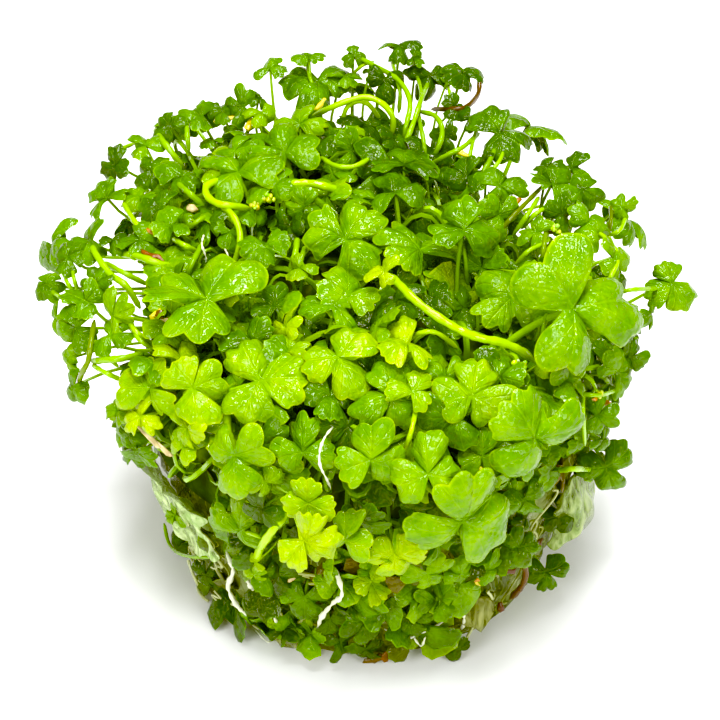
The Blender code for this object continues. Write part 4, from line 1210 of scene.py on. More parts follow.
FURTHER_LEAVES = {
    "middle": [
        (239, 384, 3.6, 1.6, 0.50, 180), (384, 272, 4.2, 6.0, 0.95, 180), (285, 327, 4.4, 2.6, 0.85, 90),
        (288, 350, 5.0, 2.0, 0.76, 90), (330, 395, 6.0, 1.4, 0.34, -90), (412, 392, 5.0, 3.4, 0.72, 60),
        (407, 343, 6.4, 4.0, 0.85, 200), (397, 300, 6.0, 1.8, 0.25, -40), (265, 248, 6.0, 2.4, 0.44, -90),
        (250, 296, 3.8, 1.4, 0.62, -60), (348, 295, 6.6, 2.6, 0.62, 90), (300, 268, 3.4, 2.2, 0.70, 20),
        (285, 152, 9.4, 2.2, 0.47, 110), (235, 150, 6.6, 2.6, 0.52, 100), (272, 186, 5.8, 2.4, 0.50, 70),
        (305, 207, 5.4, 2.0, 0.50, 200), (355, 196, 5.2, 2.2, 0.54, 40), (395, 192, 8.0, 2.4, 0.38, 100),
        (230, 232, 4.4, 1.4, 0.42, -100), (290, 226, 5.4, 0.4, 0.18, -90),
        # The first and last leaves of this row lie in a dark gap, and their low tones are painted shade.
        (348, 426, 7.6, 0.3, 0.16, -90), (258, 442, 7.6, 1.0, 0.32, 20), (285, 434, 5.4, -0.2, 0.14, -80),
        (182, 176, 6.0, 2.0, 0.44, 150), (208, 222, 5.4, 1.2, 0.36, -120), (430, 300, 5.6, 0.8, 0.20, -60),
        (482, 268, 6.0, 1.4, 0.36, 40), (444, 342, 5.8, 1.0, 0.30, -30),
    ],
    "right": [
        (651, 314, 3.6, 2.8, 0.50, -60), (614, 257, 5.4, 2.6, 0.60, -10), (620, 330, 5.0, 1.8, 0.30, -30),
        (500, 377, 6.4, 1.8, 0.52, 90), (446, 376, 5.4, 2.0, 0.55, 30), (455, 418, 8.6, 1.8, 0.34, 180),
        (598, 416, 4.6, 2.2, 0.38), (603, 440, 4.2, 2.6, 0.43), (594, 462, 4.4, 2.2, 0.50, -90),
        (500, 186, 6.4, 2.2, 0.36, 10), (498, 215, 5.2, 1.8, 0.50, 20), (572, 168, 4.6, 3.2, 0.30, 70),
        (582, 190, 5.6, 2.6, 0.38, -30), (562, 214, 5.0, 2.0, 0.34, -90), (589, 222, 5.4, 2.6, 0.52, -100),
        (622, 208, 3.6, 3.4, 0.50, 10), (548, 166, 4.2, 3.2, 0.24, 100), (535, 232, 4.2, 1.0, 0.55, -60),
        (565, 262, 6.0, 0.8, 0.28, -60), (630, 358, 4.6, 2.4, 0.30, -20), (547, 362, 3.4, 3.0, 0.80, 0),
    ],
    "front": [
        (265, 482, 4.4, 2.4, 0.66), (262, 508, 5.4, 1.8, 0.24), (345, 540, 6.6, 4.0, 0.66, 90),
        (372, 582, 4.8, 2.4, 0.86, -60), (427, 574, 6.2, 2.4, 0.58, -70), (525, 500, 5.6, 2.2, 0.38),
        (461, 574, 4.8, 1.8, 0.50, 90), (487, 570, 4.6, 1.6, 0.48, 30), (518, 548, 5.6, 1.2, 0.30, 20),
        (265, 572, 4.6, 1.4, 0.39), (254, 575, 3.6, 3.0, 0.72, -60), (256, 562, 3.0, 3.4, 0.84, 170),
        (305, 597, 6.2, 1.2, 0.32, -90),
        (408, 617, 6.4, 1.0, 0.30, -80), (340, 642, 4.8, 0.9, 0.12, -80), (366, 650, 5.0, 0.9, 0.13, -90),
        (178, 548, 3.8, 0.2, 0.16, -120), (205, 575, 4.4, 1.0, 0.14, -110), (175, 515, 3.4, 1.2, 0.60, 200),
        (562, 514, 6.0, 0.8, 0.14, -60), (437, 505, 7.2, 0.4, 0.12, -80), (470, 488, 5.0, 1.0, 0.28, -60),
        (362, 520, 5.6, 1.2, 0.30, 60), (360, 598, 7.0, 1.2, 0.40, -90), (366, 620, 5.6, 1.0, 0.26, -80),
        (330, 619, 5.0, 1.0, 0.20, -100), (437, 600, 5.0, 1.4, 0.40, -60), (285, 628, 4.8, 0.9, 0.16, -80),
    ],
    "left": [
        (68, 257, 4.8, 3.4, 0.34, -110), (86, 302, 5.8, 2.8, 0.48, 160), (97, 283, 4.0, 2.6, 0.34, 90),
        (55, 318, 4.4, 3.2, 0.50, -100), (113, 316, 5.4, 2.4, 0.60, 20), (110, 335, 5.2, 2.0, 0.44, -20),
        (73, 386, 5.2, 3.4, 0.44, -130), (67, 359, 3.6, 3.2, 0.60, -90), (113, 240, 3.8, 2.4, 0.32, -70),
        (140, 240, 5.2, 2.0, 0.44, 180), (180, 357, 6.6, 2.8, 0.80, 30), (192, 388, 7.6, 3.0, 0.76, 20),
        (128, 434, 5.2, 1.8, 0.38), (117, 410, 4.0, 2.2, 0.60), (140, 416, 4.8, 2.6, 0.97),
        (132, 452, 4.6, 1.8, 0.32), (187, 428, 5.0, 2.4, 0.84), (183, 447, 3.4, 2.2, 0.80, 60),
        (220, 177, 5.4, 2.4, 0.80), (205, 410, 5.0, 0.6, 0.30, -60), (165, 290, 4.6, 1.0, 0.40, 120),
    ],
    "far_rim": [
        (115, 165, 4.6, 3.0, 0.20), (150, 170, 5.6, 2.0, 0.30), (145, 145, 5.0, 3.2, 0.50),
        (170, 126, 4.4, 3.2, 0.33), (200, 115, 5.4, 2.8, 0.40), (140, 197, 4.8, 1.6, 0.54),
        (160, 207, 5.2, 1.8, 0.32), (172, 225, 4.8, 2.0, 0.46), (309, 57, 4.2, 4.4, 0.44, 80),
        (354, 55, 3.6, 4.2, 0.38, 100), (414, 57, 3.4, 4.2, 0.38, -20), (430, 76, 6.6, 3.8, 0.26, -100),
        (386, 80, 5.2, 4.0, 0.14, -90), (370, 70, 1.8, 3.6, 0.15, 60), (345, 76, 4.6, 3.0, 0.48, 20),
        (448, 79, 1.8, 3.4, 0.45, 90), (259, 98, 2.8, 3.0, 0.24, 90), (242, 107, 4.8, 2.6, 0.34, 180),
        (262, 113, 4.2, 2.6, 0.62, -90), (222, 112, 3.8, 2.4, 0.38, 160), (455, 108, 3.6, 2.4, 0.20, 0),
        (395, 140, 4.8, 1.4, 0.18, -100), (352, 133, 3.0, 2.4, 0.66, -60), (352, 151, 5.2, 1.4, 0.44, 10),
        (445, 136, 3.8, 0.8, 0.22, -90), (467, 177, 4.8, 1.8, 0.24, 90), (484, 160, 2.8, 2.2, 0.18, 60),
        (366, 124, 6.2, 0.6, 0.16, -80), (335, 134, 5.6, 1.0, 0.34, -100), (398, 128, 6.0, 0.4, 0.18, 90),
        (393, 168, 9.0, 1.0, 0.30, -90), (432, 150, 6.0, 0.0, 0.14, -60), (470, 118, 4.2, 2.2, 0.14, 20),
    ],
}


def listed_leaf_crop(listed, dice):
    """Place and axes of listed further leaves, with small random tips; their headings default to outwards."""
    rows = []
    for leaf in listed:
        heading = leaf.heading
        if heading is None:
            outwards = math.atan2(GROWTH_MIDDLE[1] - leaf.photo_y, leaf.photo_x - GROWTH_MIDDLE[0])
            heading = math.degrees(outwards) + dice.normal(0, HEADING_SPREAD)
        rows.append((leaf.photo_x, leaf.photo_y, heading, leaf.width_mm, leaf.lift_mm,
                     dice.normal(0, TIP_SPREAD), dice.normal(0, TIP_SPREAD)))
    return photo_leaf_crop(rows)


dice = np.random.default_rng(8)
further = []
for region, rows in FURTHER_LEAVES.items():
    listed = [FurtherLeaf(*row) for row in rows]
    leaves = listed_leaf_crop(listed, dice)
    further.append(leaves)
    form = leaf_forms(dice, len(listed))
    form["curl"] += 0.5 * turned_away(leaves)
    tone = np.array([leaf.tone for leaf in listed])
    add_leaves(f"further_leaves_{region}", [SMALL_LEAF, STALK], leaves, form, dice,
               (tone, 0.3 + 0.7 * tone), (FURTHER_BLADE, SMALL_STALK))
hand_placed = joined([standing] + further)

# The small leaves: hundreds stand at all heights between the larger ones and cover the cushion.
# They are alike, with a plain blade each, and are joined in meshes by the side that they grow on.
SMALL_BLADE = BladeMake(len(FEW_STEPS), (0.55, 1.0), (), 0.3 * MM)
NEARER_BLADE = BladeMake(13, (0.4, 0.75, 1.0), (), 0.3 * MM)
SMALL_LEAF_COUNT = 1100
LOWER_LEAF_SHARE = 0.42
TOP_EDGE_LOSS = 0.55
FACING_LOSS = 0.50
FILM_CLEAR_SPAN = 21
FILM_CLEAR_HEIGHT = 28 * MM
DEEPEST_HUB = -7.0 * MM
LOWER_LIFT_MM = (-3.6, -1.0)
UPPER_LIFT_MM = (-0.4, 3.6)
SMALL_WIDTH_MM = (3.2, 5.8)
FACING_EXTRA_MM = (0.8, 3.8)
SMALL_SKYWARD = 0.45
SMALL_TIP = 0.58
SMALL_TURN = 1.5
SMALL_SWAY = 1.8 * MM
TOP_MARGIN_PIXELS = (6, 70)
SIDE_REACH = 0.34
# A larger leaf pushes small ones down within these shares of both widths, down to a depth under it
PUSH_LARGE = 0.46
PUSH_SMALL = 0.30
PUSH_DEPTH = 2 * MM
PUSH_SPARE = 1.0 * MM
# A small leaf hides a larger one within these shares of both widths, where it is this much nearer
HIDE_LARGE = 0.40
HIDE_SMALL = 0.20
HIDE_NEARER = 0.2 * MM
# Tones of small leaves: their middle and spread, and the painted shade and painted light that change them by
# place
SMALL_TONE = 0.42
SMALL_TONE_SPREAD = 0.13
LOWER_PAINTED_SHADE = 0.16
FACING_PAINTED_LIGHT = 0.14
BACK_PAINTED_SHADE = 0.12
BACK_REACH = 25 * MM
BACK_RIGHT_PAINTED_SHADE = 0.12
RIGHT_REACH = 20 * MM
DARKEST_AND_LIGHTEST = (0.04, 0.92)


def bed_spread(count, dice):
    """Spots spread evenly over the cushion's part of the bed, and the ways out of it.

    Each takes an equal share of the area, upwards along the bed's line and by the golden angle
    around it, with a small random shift.
    """
    line = BED_LINE[BED_LINE[:, 1] >= PLUG_HEIGHT + 0.2 * MM]
    runs = np.linalg.norm(np.diff(line, axis=0), axis=1)
    area = np.concatenate(([0], np.cumsum(runs * (line[1:, 0] + line[:-1, 0]) / 2)))
    step = np.arange(count)
    wanted = np.clip((step + 0.5 + dice.uniform(-6, 6, count)) / count, 0, 0.9995) * area[-1]
    around = step * GOLDEN_ANGLE + dice.uniform(-0.08, 0.08, count)
    spots = leaned(turned(np.interp(wanted, area, line[:, 0]), around, np.interp(wanted, area, line[:, 1])))
    return spots, bed_distance(spots)[1]


def keep_clear(leaves, larger, hiding):
    """Sink small leaves that would lie over a larger one, and say which then hide none in the picture."""
    hub = leaves.hub.copy()
    for index in range(len(larger.width)):
        offset = hub - larger.hub[index]
        above = offset @ larger.up[index]
        aside = np.linalg.norm(offset - above[:, None] * larger.up[index], axis=1)
        near = aside < PUSH_LARGE * larger.width[index] + PUSH_SMALL * leaves.width
        sink = np.where(near & (above > -PUSH_SPARE - PUSH_DEPTH), np.maximum(above + PUSH_SPARE, 0), 0)
        hub -= larger.up[index] * sink[:, None]
    small_x, small_y, small_depth = picture_place(hub)
    large_x, large_y, large_depth = picture_place(hiding.hub)
    apart = np.hypot(small_x[:, None] - large_x, small_y[:, None] - large_y)
    reach = (HIDE_LARGE * hiding.width + HIDE_SMALL * leaves.width[:, None]) * PIXELS_PER_METRE
    hides = (apart < reach) & (small_depth[:, None] < large_depth - HIDE_NEARER)
    return leaves._replace(hub=hub), ~hides.any(axis=1)


dice = np.random.default_rng(17)
small_spots, small_out = bed_spread(SMALL_LEAF_COUNT, dice)
is_lower = dice.uniform(0, 1, SMALL_LEAF_COUNT) < LOWER_LEAF_SHARE
lower_lift = dice.uniform(*LOWER_LIFT_MM, SMALL_LEAF_COUNT)
small_lift = np.where(is_lower, lower_lift, dice.uniform(*UPPER_LIFT_MM, SMALL_LEAF_COUNT))
small_hub = small_spots + small_out * (small_lift * MM)[:, None]
small_up = unit(small_out + SKYWARD * SMALL_SKYWARD + dice.normal(0, SMALL_TIP, (SMALL_LEAF_COUNT, 3)))
small_along, small_across = turned_frame(
    small_up, unit(small_spots * (1, 1, 0)) + SKYWARD * 0.01, dice.normal(0, SMALL_TURN, SMALL_LEAF_COUNT))
facing = np.clip(small_out @ TO_EYE * 1.3 - 0.2, 0, 1)
small_width = dice.uniform(*SMALL_WIDTH_MM, SMALL_LEAF_COUNT) * MM
small_width += dice.uniform(*FACING_EXTRA_MM, SMALL_LEAF_COUNT) * facing * MM
over_top = drop_inside(small_hub, dice.uniform(*TOP_MARGIN_PIXELS, SMALL_LEAF_COUNT))
small_hub[:, 0] += shift_inside(small_hub, small_width * SIDE_REACH * PIXELS_PER_METRE)
small_hub[:, 2] -= over_top
small_leaves = Leaves(small_hub, small_along, small_across, small_up, small_width)
small_leaves, small_shown = keep_clear(small_leaves, joined((hand_placed, standing_far)), hand_placed)
small_shown &= (bed_distance(small_leaves.hub)[0] > DEEPEST_HUB) | (over_top > 0)
small_shown &= ~over_open_spot(small_leaves)
small_around = np.degrees(np.arctan2(small_hub[:, 1], small_hub[:, 0])) % 360
small_shown &= (np.abs(small_around - FILM_AROUND) > FILM_CLEAR_SPAN) | (small_hub[:, 2] > FILM_CLEAR_HEIGHT)
loss = np.where(over_top > 0, TOP_EDGE_LOSS, np.where(is_lower, 0, FACING_LOSS * np.clip(facing * 1.4, 0, 1)))
small_shown &= dice.uniform(0, 1, SMALL_LEAF_COUNT) > loss
small_leaves = picked(small_leaves, small_shown)
facing = facing[small_shown]
is_lower = is_lower[small_shown]
small_form = leaf_forms(dice, len(facing), rise=(0.15, 0.6), curl=(0.7, 1.7), notch=(0.30, 0.64))
small_form["curl"] += 0.9 * turned_away(small_leaves)
hub_x, hub_y = small_leaves.hub.T[:2]
# Each small leaf's tone carries painted shade and light: darker in the lower layer, towards the back and at the
# back right, lighter where the leaf faces the eye.
small_tone_and_shade = dice.normal(SMALL_TONE, SMALL_TONE_SPREAD, len(facing)) - LOWER_PAINTED_SHADE * is_lower
small_tone_and_shade += FACING_PAINTED_LIGHT * facing - BACK_PAINTED_SHADE * np.clip(hub_y / BACK_REACH, -0.2, 1)
small_tone_and_shade -= BACK_RIGHT_PAINTED_SHADE * np.clip(hub_x / RIGHT_REACH, -0.5, 1) * (hub_y > 0)
small_tone_and_shade = np.clip(small_tone_and_shade, *DARKEST_AND_LIGHTEST)
small_side = np.floor((np.arctan2(hub_y, hub_x) / (2 * math.pi) % 1) * 4).astype(int)
small_near = (facing > 0.25) & ~is_lower
for side in range(4):
    for nearer, kind, blade in ((False, "small", SMALL_BLADE), (True, "upper", NEARER_BLADE)):
        chosen = (small_side == side) & (small_near == nearer)
        if not chosen.any():
            continue
        leaves = picked(small_leaves, chosen)
        form = picked_form(small_form, chosen)
        if not nearer:
            form["tooth_rate"][:] = 1.5
            form["tooth_shift"][:] = 0.0
        sway = dice.normal(0, SMALL_SWAY, leaves.hub.shape)
        # This tone holds each small leaf's painted shade and light.
        tone = small_tone_and_shade[chosen]
        add_leaves(f"{kind}_leaves_{side + 1}", [SMALL_LEAF, STALK], leaves, form, dice,
                   (tone, 0.3 + 0.7 * tone), (blade, SMALL_STALK), sway)

# Loose stalks: bare petioles and thin stems arch through the gaps between the leaves, in bright
# lime where the light reaches them. Each is a plain arc with both ends down in the tangle.
LOOSE_STALK_COUNT = 420
LOOSE_STALK_STEPS = 9
LOOSE_STALK_FOOT = 5.6 * MM
LOOSE_SIDE_PIXELS = TANGLE_EDGE_PIXELS - 20
LOOSE_REACH_MM = (3, 11)
LOOSE_HEIGHT_MM = (4.0, 8.6)
LOOSE_BACK_HEIGHT = 3.0 * MM
LOOSE_RADIUS_MM = (0.18, 0.38)
LOOSE_TONE = (0.25, 0.85)

dice = np.random.default_rng(23)
loose_start, loose_out = bed_spread(LOOSE_STALK_COUNT, dice)
loose_way = unit(np.cross(loose_out, dice.normal(size=loose_out.shape)))
loose_end = loose_start + loose_way * dice.uniform(*LOOSE_REACH_MM, (LOOSE_STALK_COUNT, 1)) * MM
end_distance, end_out = bed_distance(loose_end)
loose_start = loose_start - loose_out * LOOSE_STALK_FOOT
loose_end = loose_end - end_out * (end_distance + LOOSE_STALK_FOOT)[:, None]
for loose_foot in (loose_start, loose_end):
    loose_foot[:, 0] += shift_inside(loose_foot, LOOSE_SIDE_PIXELS)
    over_plug = loose_foot[:, 2] - PLUG_HEIGHT
    loose_foot[:, 2] -= np.minimum(drop_inside(loose_foot, TANGLE_EDGE_PIXELS), over_plug * DROP_SHARE)
loose_height = dice.uniform(*LOOSE_HEIGHT_MM, (LOOSE_STALK_COUNT, 1)) * MM
loose_behind = np.clip(loose_out @ TO_EYE * -2 + 0.9, 0, 1)[:, None]
loose_height += LOOSE_BACK_HEIGHT * loose_behind * (loose_out[:, 2:] > 0)
loose_routes = cubic(loose_start, loose_start + loose_out * loose_height,
                     loose_end + end_out * loose_height, loose_end, LOOSE_STALK_STEPS)
loose_radius = dice.uniform(*LOOSE_RADIUS_MM, (LOOSE_STALK_COUNT, 1)) * MM * np.ones(LOOSE_STALK_STEPS)
loose_points, loose_faces = stalk_tubes(loose_routes, loose_radius, SMALL_STALK.sides)
loose_tone = leaf_tones(dice, dice.uniform(*LOOSE_TONE, LOOSE_STALK_COUNT), loose_points)
add_piece("loose_stalks", [STALK], loose_points, loose_faces, tone=loose_tone)

# The runners: bare lime stems that lie in a low arch over the cushion.
# Each is given by its route as pixels with lifts over the bed.
RUNNER_MM = 0.5
RUNNER_STEPS = 56
RUNNER_SIDES = 12
RUNNER_TONE = (0.85, 0.5, 0, 1)
END_SINK = 1.7 * MM
GROUND_CLEARANCE_MM = 0.1
# A tube's two ends taper down to this share of its radius
THINNEST_END = 0.35
RUNNERS = {
    "runner_middle": [
        (386, 272, 5.4), (400, 285, 5.6), (415, 300, 5.6), (435, 315, 5.4), (460, 330, 5.0),
        (480, 338, 4.6), (500, 342, 3.8), (520, 350, 2.4), (536, 362, 0.9),
    ],
    "runner_top": [(268, 196, 0.9), (285, 187, 2.4), (305, 183, 3.0), (327, 187, 2.6), (350, 193, 0.9)],
}


def smooth_route(points, steps):
    """A smooth line through points: each stretch is a cubic that leaves along its neighbours' line."""
    padded = np.concatenate((2 * points[:1] - points[1:2], points, 2 * points[-1:] - points[-2:-1]))
    stretch = np.linspace(0, len(points) - 1, steps)
    index = np.minimum(stretch.astype(int), len(points) - 2)
    share = (stretch - index)[:, None]
    before, start, end, beyond = (padded[index + step] for step in range(4))
    return 0.5 * (2 * start + (end - before) * share + (2 * before - 5 * start + 4 * end - beyond) * share ** 2
                  + (3 * start - before - 3 * end + beyond) * share ** 3)


def photo_tubes(listed, steps, sides, ragged=0.07):
    """Tubes along routes of pixels and lifts, tapered at both ends, kept just off the ground.

    Ragged is how much a tube's thickness wavers, as a share of it.
    """
    routes = []
    radii = []
    taper = np.clip(np.sin(np.linspace(0.02, math.pi - 0.02, steps)) * 5, THINNEST_END, 1)
    for radius_mm, route in listed:
        photo_x, photo_y, lift_mm = np.array(route, float).T
        spots = photo_spots(photo_x, photo_y, lift_mm * MM)[0]
        spots[[0, -1]] -= TO_EYE * END_SINK
        spots[:, 2] = np.maximum(spots[:, 2], (radius_mm + GROUND_CLEARANCE_MM) * MM)
        routes.append(smooth_route(spots, steps))
        swing = np.linspace(0, len(route), steps)
        radii.append(radius_mm * MM * taper * (1 + ragged * (np.sin(4 * swing) + np.sin(11 * swing) - 0.6)))
    return stalk_tubes(np.array(routes), np.array(radii), sides)


for node_name, route in RUNNERS.items():
    runner_points, runner_faces = photo_tubes([(RUNNER_MM, route)], RUNNER_STEPS, RUNNER_SIDES)
    add_piece("lime_" + node_name, [STALK], runner_points, runner_faces, [node_name],
              tone=np.tile(RUNNER_TONE, (len(runner_points), 1)))

# Stems and petioles that the picture shows: each is given by its radius in millimetres, how lime
# and how brown it is, and its route as pixels with lifts over the bed.
STEM_STEPS = 22
STEM_SIDES = 9
Stem = namedtuple("Stem", "radius_mm lime brown route")

STEMS = [
    Stem(0.28, 0.75, 0.0, [(222, 392, 1.5), (240, 388, 2.2), (258, 382, 2.4)]),
    Stem(0.48, 0.85, 0.0, [(226, 410, 0.2), (228, 432, 1.2), (234, 450, 2.8)]),
    Stem(0.50, 0.95, 0.0, [(286, 514, 2.6), (272, 531, 3.4), (261, 547, 3.2), (254, 564, 2.6)]),
    Stem(0.28, 0.70, 0.0, [(521, 301, 2.2), (533, 296, 3.0), (546, 295, 3.4)]),
    Stem(0.26, 0.55, 0.0, [(430, 275, 0.8), (440, 295, 0.4), (455, 310, -0.5)]),
    Stem(0.26, 0.50, 0.0, [(463, 240, 5.0), (466, 262, 1.5), (468, 285, -1.0)]),
    Stem(0.28, 0.70, 0.0, [(618, 293, 2.0), (630, 290, 3.2), (645, 289, 3.4), (660, 288, 2.8)]),
    Stem(0.30, 0.85, 0.0, [(594, 229, 2.2), (609, 241, 2.6), (618, 258, 2.4), (611, 276, 1.6),
                           (603, 290, 0.4)]),
    Stem(0.26, 0.60, 0.0, [(583, 394, 2.6), (600, 395, 3.0), (622, 389, 2.6)]),
    Stem(0.28, 0.75, 0.0, [(584, 384, 1.0), (583, 413, 2.6), (586, 446, 2.4)]),
    Stem(0.30, 0.40, 0.0, [(548, 313, 6.0), (543, 332, 3.0), (543, 352, 0.0)]),
    Stem(0.28, 0.40, 0.0, [(561, 331, 5.0), (553, 342, 3.0), (546, 356, 0.0)]),
    Stem(0.30, 0.70, 0.0, [(445, 484, 4.2), (450, 494, 3.4), (463, 512, 4.6)]),
    Stem(0.36, 0.85, 0.0, [(471, 470, 1.8), (471, 480, 1.2), (472, 493, 0.0)]),
    Stem(0.30, 0.90, 0.0, [(416, 411, 3.4), (411, 432, 3.2), (404, 454, 1.4)]),
    Stem(0.30, 0.90, 0.0, [(407, 341, 2.4), (420, 333, 3.2), (437, 333, 3.4), (458, 348, 1.4)]),
    Stem(0.28, 0.85, 0.0, [(243, 532, 2.4), (253, 534, 3.2), (264, 539, 3.4)]),
    Stem(0.36, 0.80, 0.0, [(560, 471, 1.4), (572, 469, 2.6), (584, 469, 2.4), (594, 470, 1.6)]),
    # The stems of the airy left rim
    Stem(0.42, 0.60, 0.0, [(154, 128, 3.2), (162, 140, 2.8), (172, 153, 1.8), (182, 168, 0.4)]),
    Stem(0.28, 0.75, 0.0, [(114, 162, 3.0), (121, 150, 3.2), (134, 142, 3.0)]),
    Stem(0.34, 0.55, 0.0, [(187, 116, 3.0), (187, 132, 2.4), (188, 150, 1.2)]),
    Stem(0.34, 0.80, 0.0, [(122, 202, 2.8), (131, 216, 2.6), (141, 229, 2.2), (156, 240, 1.0)]),
    Stem(0.34, 0.80, 0.0, [(172, 238, 1.6), (184, 245, 1.8), (198, 252, 0.8)]),
    Stem(0.34, 0.45, 0.0, [(184, 280, 1.0), (193, 262, 1.8), (204, 238, 1.6)]),
    Stem(0.38, 0.50, 0.0, [(174, 180, 2.0), (188, 192, 2.2), (204, 206, 1.4)]),
    Stem(0.32, 0.50, 0.1, [(184, 230, 1.2), (198, 221, 1.8), (214, 211, 1.4)]),
    Stem(0.40, 0.70, 0.0, [(297, 238, 2.2), (295, 254, 1.4), (289, 274, 0.2)]),
    Stem(0.34, 0.60, 0.0, [(305, 246, 1.4), (300, 262, 0.8), (293, 276, 0.0)]),
    Stem(0.28, 0.70, 0.0, [(44, 287, 3.2), (62, 298, 2.6), (84, 312, 1.4)]),
    Stem(0.26, 0.65, 0.0, [(61, 268, 3.0), (67, 282, 2.8), (74, 294, 2.2)]),
    Stem(0.26, 0.60, 0.0, [(71, 266, 3.0), (74, 279, 2.8), (77, 292, 2.2)]),
    Stem(0.42, 0.75, 0.0, [(89, 243, 2.8), (97, 256, 2.8), (110, 274, 2.4), (126, 286, 1.8),
                           (139, 308, 0.0)]),
    Stem(0.46, 0.80, 0.0, [(119, 253, 1.6), (140, 257, 1.8), (160, 264, 1.4), (181, 268, 0.0)]),
    Stem(0.34, 0.60, 0.0, [(103, 262, 2.2), (124, 273, 2.0), (146, 284, 0.4)]),
    Stem(0.36, 0.80, 0.0, [(127, 318, 1.6), (136, 332, 1.4), (154, 347, 0.0)]),
    Stem(0.30, 0.70, 0.0, [(129, 327, 1.6), (141, 341, 1.4), (160, 351, 0.0)]),
    Stem(0.34, 0.40, 0.4, [(93, 320, 2.6), (91, 342, 3.0), (88, 361, 3.0), (82, 373, 3.0), (76, 387, 2.8)]),
    Stem(0.42, 0.60, 0.0, [(90, 361, 2.8), (107, 360, 2.6), (125, 358, 2.0), (142, 354, 0.6)]),
    Stem(0.30, 0.75, 0.0, [(91, 365, 2.8), (106, 373, 2.6), (122, 381, 1.6)]),
    Stem(0.28, 0.75, 0.0, [(92, 340, 2.8), (104, 353, 2.4), (117, 367, 1.4)]),
    # The stems of the far rim
    Stem(0.26, 0.25, 0.4, [(612, 205, 3.4), (611, 220, 2.8), (608, 240, 1.4)]),
    Stem(0.26, 0.75, 0.0, [(628, 213, 3.4), (620, 230, 2.6), (606, 236, 1.4)]),
    Stem(0.40, 0.85, 0.0, [(313, 114, 1.4), (330, 108, 3.2), (347, 101, 4.2), (366, 97, 4.6),
                           (383, 104, 4.0),
                           (393, 118, 2.4), (392, 136, 0.4)]),
    Stem(0.32, 0.80, 0.0, [(342, 126, 0.8), (346, 109, 3.0), (356, 102, 3.6), (368, 104, 3.4),
                           (381, 119, 1.4)]),
    Stem(0.34, 0.55, 0.0, [(357, 55, 4.4), (377, 67, 4.6), (396, 78, 4.4), (407, 92, 4.0), (410, 108, 3.2),
                           (406, 126, 1.8), (404, 148, -0.4)]),
    Stem(0.34, 0.60, 0.0, [(429, 80, 3.6), (421, 100, 3.2), (415, 118, 2.4), (409, 134, 1.4),
                           (400, 152, -0.2)]),
    Stem(0.28, 0.45, 0.0, [(391, 56, 4.6), (396, 76, 4.2), (400, 92, 3.2), (399, 112, 1.2)]),
    Stem(0.26, 0.50, 0.0, [(412, 58, 4.2), (417, 76, 3.8), (421, 92, 3.0), (420, 110, 1.4)]),
    Stem(0.30, 0.40, 0.0, [(418, 110, 2.4), (421, 128, 1.8), (424, 144, 1.0), (426, 164, -0.4)]),
    Stem(0.34, 0.45, 0.0, [(420, 110, 2.6), (435, 116, 2.6), (442, 128, 2.2), (440, 143, 1.4),
                           (432, 160, -0.2)]),
    Stem(0.26, 0.60, 0.0, [(447, 80, 3.2), (450, 94, 3.0), (453, 108, 1.8)]),
    Stem(0.32, 0.50, 0.0, [(480, 132, 2.4), (463, 147, 2.2), (447, 155, 1.4), (429, 165, -0.2)]),
    Stem(0.26, 0.50, 0.0, [(478, 126, 2.6), (471, 150, 2.0), (468, 172, 0.8)]),
    Stem(0.34, 0.40, 0.0, [(501, 135, 2.8), (490, 160, 2.4), (479, 178, 1.2), (466, 196, -0.2)]),
    Stem(0.26, 0.75, 0.0, [(506, 136, 2.8), (501, 158, 2.4), (488, 175, 1.2), (476, 192, -0.2)]),
    Stem(0.30, 0.30, 0.45, [(545, 184, 2.2), (522, 207, 2.2), (506, 224, 1.2), (496, 240, -0.2)]),
    Stem(0.30, 0.70, 0.0, [(540, 196, 2.8), (528, 214, 2.0), (514, 234, 0.2)]),
    Stem(0.30, 0.75, 0.0, [(556, 204, 2.4), (538, 212, 2.2), (522, 228, 0.6)]),
    Stem(0.30, 0.40, 0.3, [(548, 224, 1.8), (544, 246, 1.2), (542, 268, -0.2)]),
    Stem(0.28, 0.75, 0.0, [(548, 242, 1.6), (530, 250, 1.2), (516, 264, 0.2)]),
    Stem(0.32, 0.80, 0.0, [(320, 156, 1.4), (334, 165, 2.2), (350, 167, 2.4), (364, 162, 2.2),
                           (371, 155, 2.0)]),
    Stem(0.24, 0.50, 0.0, [(307, 60, 4.2), (309, 74, 3.6), (314, 88, 2.4)]),
    Stem(0.22, 0.80, 0.2, [(374, 60, 4.4), (362, 66, 4.0), (350, 75, 3.0)]),
    Stem(0.34, 0.05, 0.9, [(480, 76, 3.6), (478, 94, 3.2), (466, 107, 2.6), (448, 109, 2.0),
                           (432, 108, 1.0)]),
    Stem(0.46, 0.90, 0.0, [(234, 180, 1.4), (217, 181, 2.8), (206, 187, 3.2), (208, 197, 3.2),
                           (219, 204, 3.2), (233, 206, 3.0), (250, 208, 1.4)]),
    Stem(0.40, 0.85, 0.0, [(217, 204, 3.0), (230, 212, 2.8), (238, 226, 2.4), (240, 243, 1.6),
                           (233, 264, 0.0)]),
    # The stems that hang on the wall
    Stem(0.24, 0.42, 0.0, [(163, 524, -0.8), (170, 545, 1.0), (187, 556, 1.2), (224, 558, 0.6)]),
    Stem(0.42, 0.05, 1.0, [(514, 556, 1.4), (525, 568, 1.8), (523, 584, 1.8), (511, 600, 1.2)]),
]

stem_points, stem_faces = photo_tubes([(stem.radius_mm, stem.route) for stem in STEMS], STEM_STEPS, STEM_SIDES)
stem_look = np.array([(stem.lime, 0.5, stem.brown, 1) for stem in STEMS])
add_piece("stems_and_petioles", [STALK], stem_points, stem_faces,
          tone=np.repeat(stem_look, len(stem_points) // len(STEMS), axis=0))

